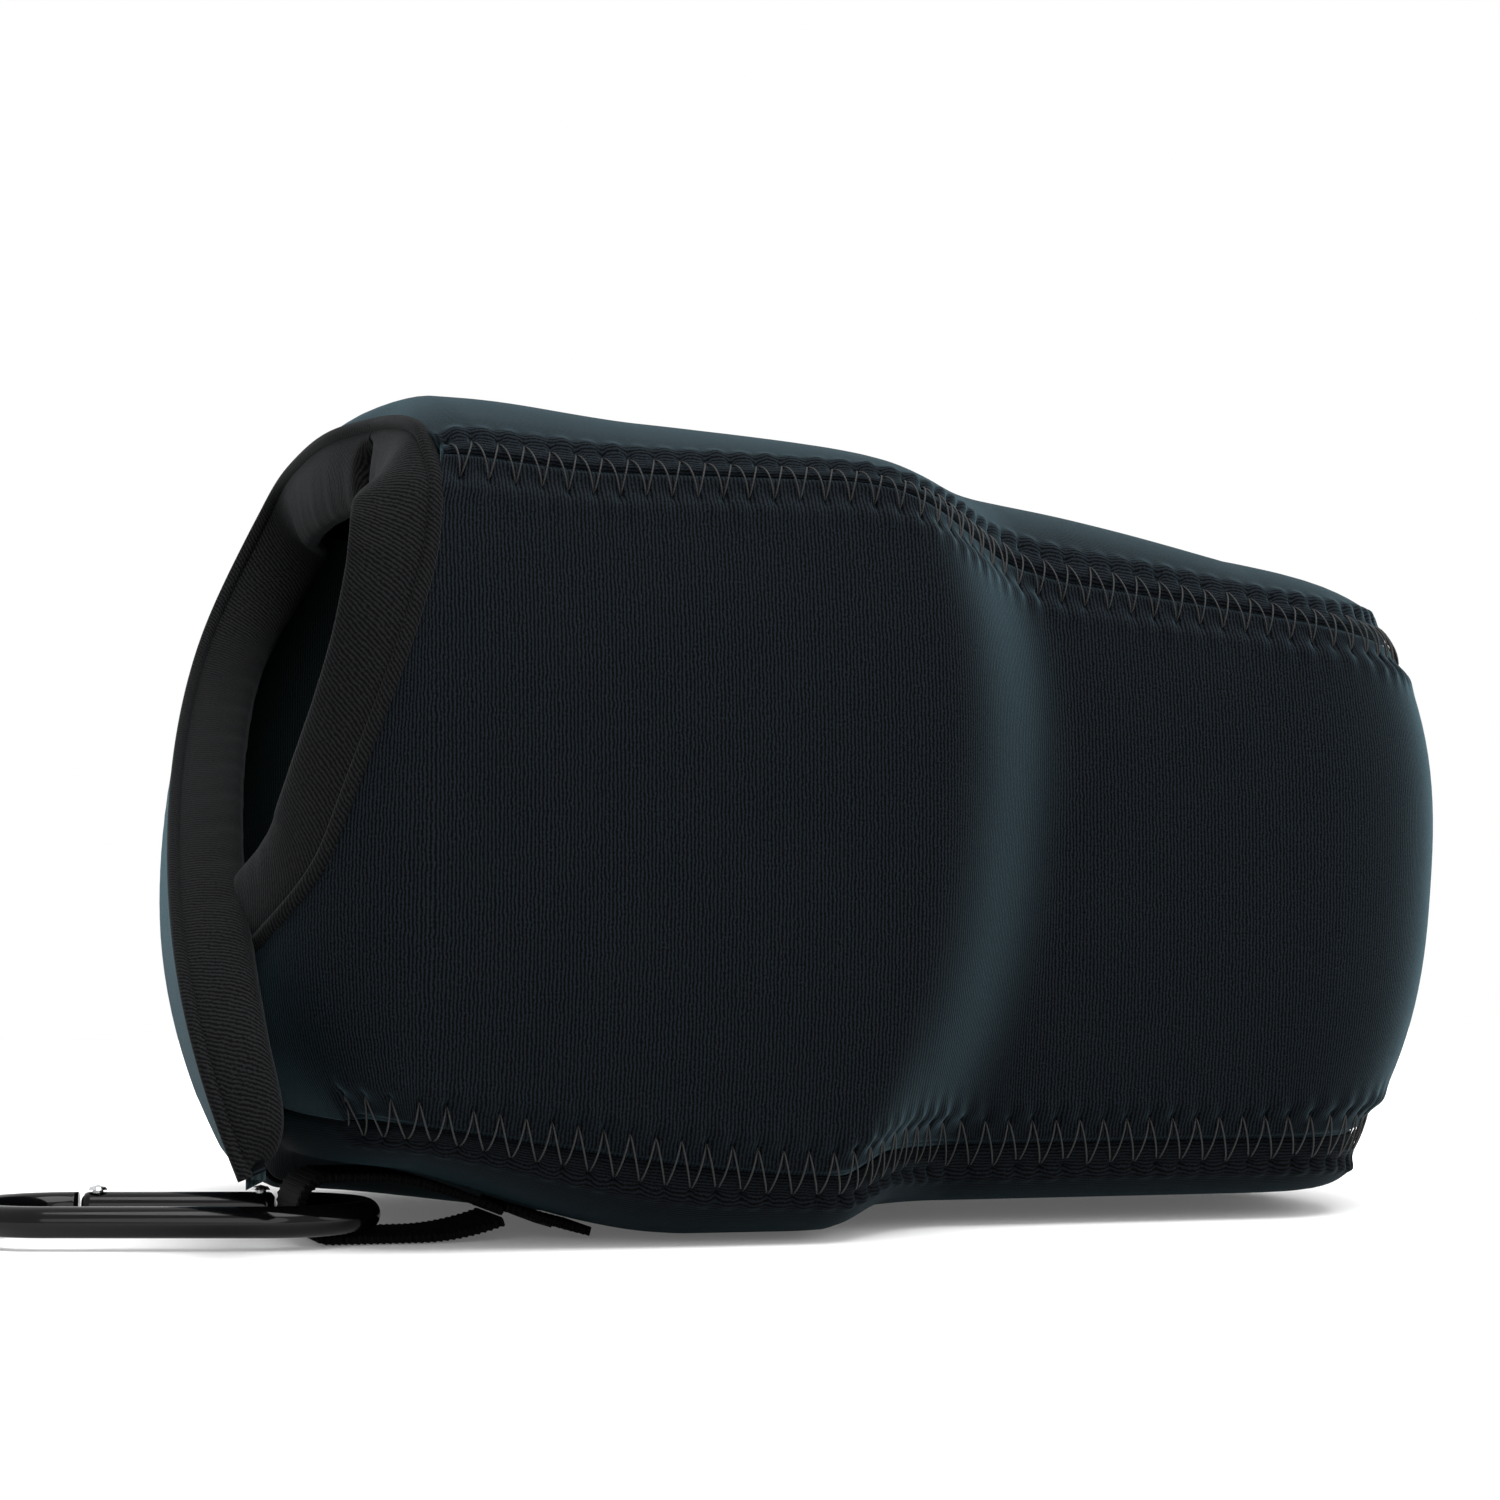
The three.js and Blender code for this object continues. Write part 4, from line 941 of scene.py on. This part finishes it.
def loop_path():
    """From the sewn line down to the floor, round the turned end and back over the lower strand."""
    radius = (LOOP_HEIGHT - WEB_THICK) / 2
    centre_x = WEB_TACK_X - LOOP_LENGTH + LOOP_HEIGHT / 2
    low = LOOP_LIFT + WEB_THICK / 2
    high = low + 2 * radius
    floor_x = WEB_TACK_X - LOWER_STRAND
    angle = np.linspace(-np.pi / 2, -3 * np.pi / 2, TURN_POINTS)
    turn = np.stack([centre_x + radius * np.cos(angle), low + radius + radius * np.sin(angle)], -1)
    pinch = (WEB_TACK_X, PINCH_Z - PINCH_HALF), (WEB_TACK_X, PINCH_Z + PINCH_HALF)
    down = curve(pinch[0], (WEB_TACK_X - LOWER_STRAND / 2, low), (floor_x, low), LOWER_POINTS)
    up = curve((WEB_TACK_X - UPPER_STRAND, high), (floor_x, high), pinch[1], UPPER_POINTS)
    path = np.concatenate([down, turn, up])
    return resampled(path, along(path), LOOP_ROWS)


def tail_path():
    """Under the belly, from the sewn line forwards."""
    x = np.linspace(WEB_TACK_X + WEB_TAIL_START, WEB_TACK_X + WEB_TAIL_LENGTH, WEB_TAIL_ROWS)
    z = np.maximum(belly(x) - WEB_THICK / 2 - WEB_GAP, WEB_THICK / 2 + WEB_FLOOR_GAP)
    return np.stack([x, z], -1)


def bar_tack(name, material):
    """Close zigzag thread across the webbing, through it and into the bottom panel."""
    count = int(TACK_WIDTH / TACK_PITCH)
    y = WEB_Y - TACK_WIDTH / 2 + TACK_PITCH * np.arange(count)
    x = TACK_X + TACK_LENGTH / 2 * (-1.0) ** np.arange(count)
    z = belly(x) - WEB_THICK - WEB_GAP - THREAD_RADIUS
    return tube(name, stack(x, y, z), np.tile(UP, (count, 1)), THREAD_RADIUS, THREAD_SIDES, material)


# Carabiner, drawn flat about the oval's middle with the gate at +Y


def carabiner_place(x, y):
    """Points of the flat drawing, turned and moved to where the carabiner lies."""
    cos, sin = np.cos(CARABINER_YAW), np.sin(CARABINER_YAW)
    at = np.array(CARABINER_AT)
    return stack(at[0] + cos * x - sin * y, at[1] + sin * x + cos * y, at[2])


def carabiner_bar(name, x, y, radius, material):
    """A round bar along a flat path."""
    path = carabiner_place(x, y)
    return tube(name, path, np.tile(UP, (len(path), 1)), radius, BAR_SIDES, material)


def carabiner_frame(material):
    """Two half circles and the straight spine between them."""
    turn = np.linspace(np.pi / 2, -np.pi / 2, BAR_POINTS)
    half_x = OVAL_HALF_STRAIGHT + OVAL_RADIUS * np.cos(turn)
    half_y = OVAL_RADIUS * np.sin(turn)
    x = np.concatenate([half_x, -half_x])
    y = np.concatenate([half_y, -half_y])
    return carabiner_bar("carabiner_bar", x, y, BAR, material)


def carabiner_gate(material):
    """A straight bar with chamfered ends."""
    x = np.linspace(-OVAL_HALF_STRAIGHT + PIVOT_GAP, OVAL_HALF_STRAIGHT - LATCH_GAP, BAR_POINTS)
    from_end = np.minimum(x - x[0], x[-1] - x)
    radius = BAR * (1 - GATE_THINNING * np.clip(1 - from_end / GATE_CHAMFER, 0, 1) ** 2)
    return carabiner_bar("carabiner_gate_bar", x, np.full_like(x, OVAL_RADIUS), radius, material)


# Materials

LINT_SPACING = 28.0  # a fleck of lint for each square of this size
LINT_RADIUS = 0.14
CLOUDS_PER_MM = 0.09  # a patch of worn cloth in about every 11 mm
THREAD_TWIST = 0.35
THREAD_LAY = 0.7  # the angle of the twist, in radians
YARN_LENGTH = 1.4
YARN_WIDTH = 0.8
YARN_GAP = 0.12
MIXED_COLOUR = 2  # the output of a mix node that gives colours


def linear(colour):
    """An sRGB colour such as #101418 as linear light."""
    value = np.array([int(colour[n : n + 2], 16) for n in (1, 3, 5)]) / 255
    light = np.where(value <= 0.04045, value / 12.92, ((value + 0.055) / 1.055) ** 2.4)
    return (*light, 1.0)


def wave_scale(pitch):
    """The scale at which a wave texture repeats once in each pitch."""
    return np.pi / 10 / pitch


def add_node(tree, kind, settings=None, **inputs):
    """A shader node with its settings, and its inputs set or linked. An input goes by its identifier, or by
    its name with _ for a space."""
    node = tree.nodes.new("ShaderNode" + kind)
    for name, value in (settings or {}).items():
        setattr(node, name, value)
    by_identifier = {socket.identifier: socket for socket in node.inputs}
    for name, value in inputs.items():
        socket = by_identifier[name] if name in by_identifier else node.inputs[name.replace("_", " ")]
        if isinstance(value, bpy.types.NodeSocket):
            tree.links.new(value, socket)
        else:
            socket.default_value = value
    return node


def new_material(name):
    """An empty material and its node tree."""
    material = bpy.data.materials.new(name)
    material.use_nodes = True
    material.node_tree.nodes.clear()
    return material, material.node_tree


def finish_material(tree, **inputs):
    """Ends a material with its surface."""
    surface = add_node(tree, "BsdfPrincipled", **inputs)
    add_node(tree, "OutputMaterial", Surface=surface.outputs[0])


def ribbed_cloth(name, dark, light, rib, grain, depth, sheen, tint, slant=0.0):
    """Fine knit: ribs of one pitch along the second texture direction, broken up by grain in colour and
    height, with a sheen at grazing angles and a fleck of lint here and there."""
    material, tree = new_material(name)
    uv = add_node(tree, "UVMap", {"uv_map": "millimetres"}).outputs[0]
    turned = add_node(tree, "VectorRotate", {"rotation_type": "Z_AXIS"}, Vector=uv, Angle=slant).outputs[0]
    ribs = add_node(tree, "TexWave", Vector=turned, Scale=wave_scale(rib), Distortion=3.0, Detail=2.0)
    specks = add_node(tree, "TexNoise", Vector=uv, Scale=1 / grain, Detail=2.0, Roughness=0.6)
    parts = {"Factor": 0.7, "A": ribs.outputs["Fac"], "B": specks.outputs["Fac"]}
    knit = add_node(tree, "Mix", {"data_type": "FLOAT"}, **parts).outputs[0]
    shade = add_node(tree, "MapRange", Value=knit, From_Min=0.42, From_Max=0.58).outputs[0]
    parts = {"Factor": shade, "A_Color": linear(dark), "B_Color": linear(light)}
    cloth = add_node(tree, "Mix", {"data_type": "RGBA"}, **parts).outputs[MIXED_COLOUR]
    cells = add_node(tree, "TexVoronoi", Vector=uv, Scale=1 / LINT_SPACING).outputs["Distance"]
    fleck = LINT_RADIUS / LINT_SPACING
    parts = {"From_Min": fleck, "From_Max": 2 * fleck, "To_Min": 1.0, "To_Max": 0.0}
    lint = add_node(tree, "MapRange", Value=cells, **parts).outputs[0]
    parts = {"Factor": lint, "A_Color": cloth, "B_Color": linear("#5a6064")}
    colour = add_node(tree, "Mix", {"data_type": "RGBA"}, **parts).outputs[MIXED_COLOUR]
    cloud = add_node(tree, "TexNoise", Vector=uv, Scale=CLOUDS_PER_MM, Detail=2.0).outputs["Fac"]
    finish_material(
        tree,
        Base_Color=colour,
        Roughness=add_node(tree, "MapRange", Value=cloud, To_Min=0.7, To_Max=0.85).outputs[0],
        Specular_IOR_Level=0.03,
        Sheen_Weight=sheen,
        Sheen_Roughness=0.35,
        Sheen_Tint=linear(tint),
        Normal=add_node(tree, "Bump", Height=knit, Strength=0.6, Distance=depth * MM).outputs[0],
    )
    return material


def thread_material():
    """Twisted polyester thread: nearly black, a little shiny along its fine twist."""
    material, tree = new_material("polyester_thread")
    uv = add_node(tree, "UVMap", {"uv_map": "millimetres"}).outputs[0]
    lay = {"Vector": uv, "Angle": THREAD_LAY}
    turned = add_node(tree, "VectorRotate", {"rotation_type": "Z_AXIS"}, **lay).outputs[0]
    twist = add_node(tree, "TexWave", Vector=turned, Scale=wave_scale(THREAD_TWIST)).outputs["Fac"]
    finish_material(
        tree,
        Base_Color=linear("#101112"),
        Roughness=0.5,
        Specular_IOR_Level=0.25,
        Normal=add_node(tree, "Bump", Height=twist, Strength=0.5, Distance=0.06 * MM).outputs[0],
    )
    return material


def webbing_material():
    """Woven nylon: a plain weave of black yarns, dull but for the light that catches each yarn's crown."""
    material, tree = new_material("nylon_webbing")
    uv = add_node(tree, "UVMap", {"uv_map": "millimetres"}).outputs[0]
    yarns = {"Brick_Width": YARN_LENGTH, "Row_Height": YARN_WIDTH, "Mortar_Size": YARN_GAP}
    weave = add_node(tree, "TexBrick", {"offset": 0.5}, Vector=uv, Scale=1.0, Mortar_Smooth=1.0, **yarns)
    relief = {"Height": weave.outputs["Fac"], "Strength": 1.0, "Distance": 0.25 * MM}
    finish_material(
        tree,
        Base_Color=linear("#050506"),
        Roughness=0.7,
        Specular_IOR_Level=0.06,
        Normal=add_node(tree, "Bump", {"invert": True}, **relief).outputs[0],
    )
    return material


def worn_roughness(tree, patch, low, high):
    """Roughness that varies between two values in patches of one size, in millimetres."""
    place = add_node(tree, "TexCoord").outputs["Object"]
    wear = add_node(tree, "TexNoise", Vector=place, Scale=1 / (patch * MM), Detail=4.0).outputs["Fac"]
    spread = {"From_Min": 0.35, "From_Max": 0.65, "To_Min": low, "To_Max": high}
    return add_node(tree, "MapRange", Value=wear, **spread).outputs[0]


def gloss_black():
    """Black anodised aluminium: a clear gloss, dulled in patches by handling."""
    material, tree = new_material("gloss_black_aluminium")
    finish_material(
        tree,
        Base_Color=linear("#050506"),
        Roughness=worn_roughness(tree, patch=4.0, low=0.08, high=0.18),
        Specular_IOR_Level=0.1,
        Coat_Weight=0.15,
        Coat_Roughness=0.03,
    )
    return material


def bright_steel():
    """Bright steel of the pins and the spring: mirror-like spots between faint rubbed ones."""
    material, tree = new_material("bright_steel")
    rough = worn_roughness(tree, patch=0.6, low=0.18, high=0.34)
    finish_material(tree, Base_Color=linear("#c9cbcd"), Metallic=1.0, Roughness=rough)
    return material


def repaint(node, material):
    """Gives a solid of the part a material and smooth faces."""
    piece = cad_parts[node]
    piece.data.materials.clear()
    piece.data.materials.append(material)
    piece.data.polygons.foreach_set("use_smooth", np.ones(len(piece.data.polygons), bool))


JERSEY = {"dark": "#000000", "rib": 0.55, "grain": 0.35, "depth": 0.12}
# Jersey on neoprene foam: black in front, with a cold sheen where it turns away from the eye
neoprene = ribbed_cloth("neoprene_jersey", light="#11161b", sheen=0.27, tint="#8fb8c6", **JERSEY)
# The same jersey under the belly, with painted shade: darker, and with hardly any sheen, to stand in for the
# shadow it lies in
painted_shade_neoprene = ribbed_cloth("painted_shade_neoprene_jersey", light="#0d1014", sheen=0.06, tint="#86b8c8", **JERSEY)
# The inner face: a smoother jersey whose paler colour is painted light, for the light that falls in at the
# mouth, so that it reads grey behind the black
LIT_LINING = {"dark": "#1a2526", "light": "#303c3e", "rib": 0.4, "grain": 0.3, "depth": 0.05}
lining = ribbed_cloth("neoprene_lining_painted_light", sheen=0.03, tint="#8fb0c4", **LIT_LINING)
# Tricot tape: matt and a little greyer than the panels, with ribs that run aslant
TRICOT = {"dark": "#050505", "light": "#161718", "rib": 0.6, "grain": 0.4, "depth": 0.25, "slant": 0.6}
binding = ribbed_cloth("tricot_binding", sheen=0.08, tint="#9aa0a4", **TRICOT)
thread = thread_material()
nylon = webbing_material()
black = gloss_black()
steel = bright_steel()

# Assembly: panels and their seams

top, *top_face, top_s = top_skin("top_skin", neoprene)
# The belly's cloth carries painted shade: darker for the shadow under the pouch
bottom, *bottom_face, bottom_s = bottom_skin("bottom_skin", painted_shade_neoprene)
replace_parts(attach(top, "pouch"), "top_panel")
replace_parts(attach(bottom, "pouch"), "bottom_panel")
last = top_face[0].shape[1] - 1
side_last = len(EDGE) * 2 + MIDDLE_COLUMNS - 1
mouth_edge = top_face[0][0]
rim = whole_rim(mouth_edge)

side_faces = []
for label, strip, foot in (("near", NEAR, near_foot), ("far", FAR, far_foot)):
    skin, *face, low_s, high_s = side_skin(
        f"{label}_side_skin", strip, foot, mouth_edge, rim, (neoprene, lining)
    )
    side_faces.append(face)
    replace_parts(skin, f"{label}_side_panel", f"{label}_flap")
    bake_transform(skin)
    near = strip is NEAR
    butt = 0 if near else last
    hole = edge_column(TOP_ROW)
    panel = seam_side(top_face, top_s, hole if near else last - hole, butt)
    side = seam_side(face, high_s, side_last - edge_column(SIDE_ROW), side_last)
    seam = zigzag(f"{label}_top_thread", panel, side, SEAM_START, top_s[-1], thread)
    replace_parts(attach(seam, "pouch"), f"top_{label}_stitches")
    hole = edge_column(BOTTOM_ROW)
    panel = seam_side(bottom_face, bottom_s, hole if near else last - hole, butt)
    side = seam_side(face, low_s, edge_column(SIDE_ROW), 0)
    start = -SEWN_FLAP if near else SEAM_START
    seam = zigzag(f"{label}_bottom_thread", panel, side, start, bottom_s[-1], thread)
    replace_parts(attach(seam, "pouch"), f"bottom_{label}_stitches")

near_nose, far_nose = (nose_side(face) for face in side_faces)
seam = zigzag("nose_thread", near_nose, far_nose, NOSE_MARGIN, near_nose["s"][-1] - NOSE_MARGIN, thread)
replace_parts(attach(seam, "pouch"), "nose_stitches")

# Assembly: binding and piping

rim_widths(rim)
near_part = part_of(rim, rim["length"][0], PUCKER + RIM_STEP)
far_part = part_of(rim, PUCKER - RIM_STEP, rim["length"][-1])
near_binding = band("near_band", near_part, binding)
far_binding = band("far_band", far_part, binding)
near_piping = piping("near_piping", near_part, binding)
far_piping = piping("far_piping", far_part, binding)
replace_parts(near_binding, "near_flap_band")
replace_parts(near_piping, "near_flap_piping")
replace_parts(far_binding, "far_flap_band", "mouth_band")
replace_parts(far_piping, "far_flap_piping", "mouth_piping")
for piece in (near_binding, near_piping):
    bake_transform(piece)
for piece in (far_binding, far_piping):
    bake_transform(piece)

# Assembly: webbing and carabiner

loop = strap("webbing_loop_strap", loop_path(), nylon)
tail = strap("webbing_tail_strap", tail_path(), nylon)
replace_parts(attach(loop, "loop"), "webbing_loop")
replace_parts(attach(tail, "pouch"), "webbing_tail")
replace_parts(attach(carabiner_frame(black), "carabiner"), "carabiner_frame")
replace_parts(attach(carabiner_gate(black), "gate"), "carabiner_gate")
for node in ("gate_pivot_pin", "gate_latch_pin", "gate_spring", "gate_plunger"):
    repaint(node, steel)
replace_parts(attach(bar_tack("webbing_tack_thread", thread), "pouch"), "webbing_tack")

# Floor, light and camera

FLOOR_HALF = 0.7  # in metres, as all lengths of the studio but the camera's place
FLOOR_WHITE = 0.92
FLOOR_BOUNCE = 0.5  # less light comes up from it
FLOOR_LIFT = 0.1  # and it hardly shows a shadow
WHITE = (1, 1, 1, 1)
CAMERA_PLACE = (-165.4, -576.8, 49.7)
CAMERA_AHEAD = (0.2756, 0.9613, 0)
CAMERA_RIGHT = (0.9613, -0.2756, 0)
PICTURE_PIXELS = 1500
FOCAL_PIXELS = 3850
AIM_RIGHT_PIXELS = 10  # the picture's middle lies this far off the camera's level line
AIM_UP_PIXELS = 140
SENSOR = 36


def seen_rays(tree):
    """1 for rays that the eye follows: straight, mirrored or through glass."""
    path = add_node(tree, "LightPath").outputs
    larger = {"operation": "MAXIMUM"}
    indirect = {"Value": path["Is Glossy Ray"], "Value_001": path["Is Transmission Ray"]}
    mirrored = add_node(tree, "Math", larger, **indirect).outputs[0]
    return add_node(tree, "Math", larger, Value=path["Is Camera Ray"], Value_001=mirrored).outputs[0]


def make_floor():
    """A pale board that keeps the object's shadow."""
    corners = [(x * FLOOR_HALF, y * FLOOR_HALF, 0) for x, y in ((-1, -1), (1, -1), (1, 1), (-1, 1))]
    mesh = bpy.data.meshes.new("floor")
    mesh.from_pydata(corners, [], [(0, 1, 2, 3)])
    material, tree = new_material("pale_floor")
    seen = seen_rays(tree)
    shade = add_node(tree, "MapRange", Value=seen, To_Min=FLOOR_BOUNCE, To_Max=FLOOR_WHITE)
    finish_material(
        tree,
        Base_Color=shade.outputs[0],
        Roughness=0.6,
        Specular_IOR_Level=0.3,
        Emission_Color=WHITE,
        Emission_Strength=add_node(tree, "MapRange", Value=seen, To_Max=FLOOR_LIFT).outputs[0],
    )
    mesh.materials.append(material)
    floor = add_object("floor", mesh)


def turn_to(thing, direction):
    """Turns a light or a camera to look along a direction."""
    thing.rotation_mode = "QUATERNION"
    thing.rotation_quaternion = direction.to_track_quat("-Z", "Y")


def soft_light(name, place, target, size, power):
    """A round area light, turned to a target."""
    lamp = bpy.data.lights.new(name, "AREA")
    lamp.shape = "DISK"
    lamp.size = size
    lamp.energy = power
    light = add_object(name, lamp)
    light.location = place
    turn_to(light, Vector(target) - Vector(place))


def white_world(low, high):
    """White behind everything for the eye, and light on the object that grows from the horizon upwards."""
    world = bpy.data.worlds.new("studio")
    world.use_nodes = True
    tree = world.node_tree
    tree.nodes.clear()
    direction = add_node(tree, "TexCoord").outputs["Generated"]
    height = add_node(tree, "SeparateXYZ", Vector=direction).outputs["Z"]
    level = add_node(tree, "MapRange", Value=height, To_Min=low, To_Max=high).outputs[0]
    strength = add_node(tree, "Mix", {"data_type": "FLOAT"}, Factor=seen_rays(tree), A=level, B=1.0)
    background = add_node(tree, "Background", Color=WHITE, Strength=strength.outputs[0])
    add_node(tree, "OutputWorld", Surface=background.outputs[0])
    bpy.context.scene.world = world


def make_camera():
    """A level camera at the near side, aimed a little up and right by the picture's own framing."""
    camera = add_object("camera", bpy.data.cameras.new("camera"))
    camera.data.sensor_width = SENSOR
    camera.data.lens = SENSOR * FOCAL_PIXELS / PICTURE_PIXELS
    camera.data.clip_start = 0.01
    camera.location = Vector(CAMERA_PLACE) * MM
    aside = Vector(CAMERA_RIGHT) * (AIM_RIGHT_PIXELS / FOCAL_PIXELS)
    turn_to(camera, Vector(CAMERA_AHEAD) + aside + Vector((0, 0, AIM_UP_PIXELS / FOCAL_PIXELS)))
    bpy.context.scene.camera = camera


make_floor()
soft_light("overhead", place=(0.05, -0.35, 0.9), target=(0, -0.05, 0.05), size=0.9, power=12)
soft_light("front", place=(-0.3, -1.1, 0.4), target=(0, 0, 0.02), size=0.8, power=4)
soft_light("right", place=(0.9, -0.5, 0.45), target=(0.05, 0, 0.05), size=0.8, power=3.5)
white_world(low=0.35, high=1.5)
make_camera()
bpy.context.scene.view_settings.view_transform = "Standard"
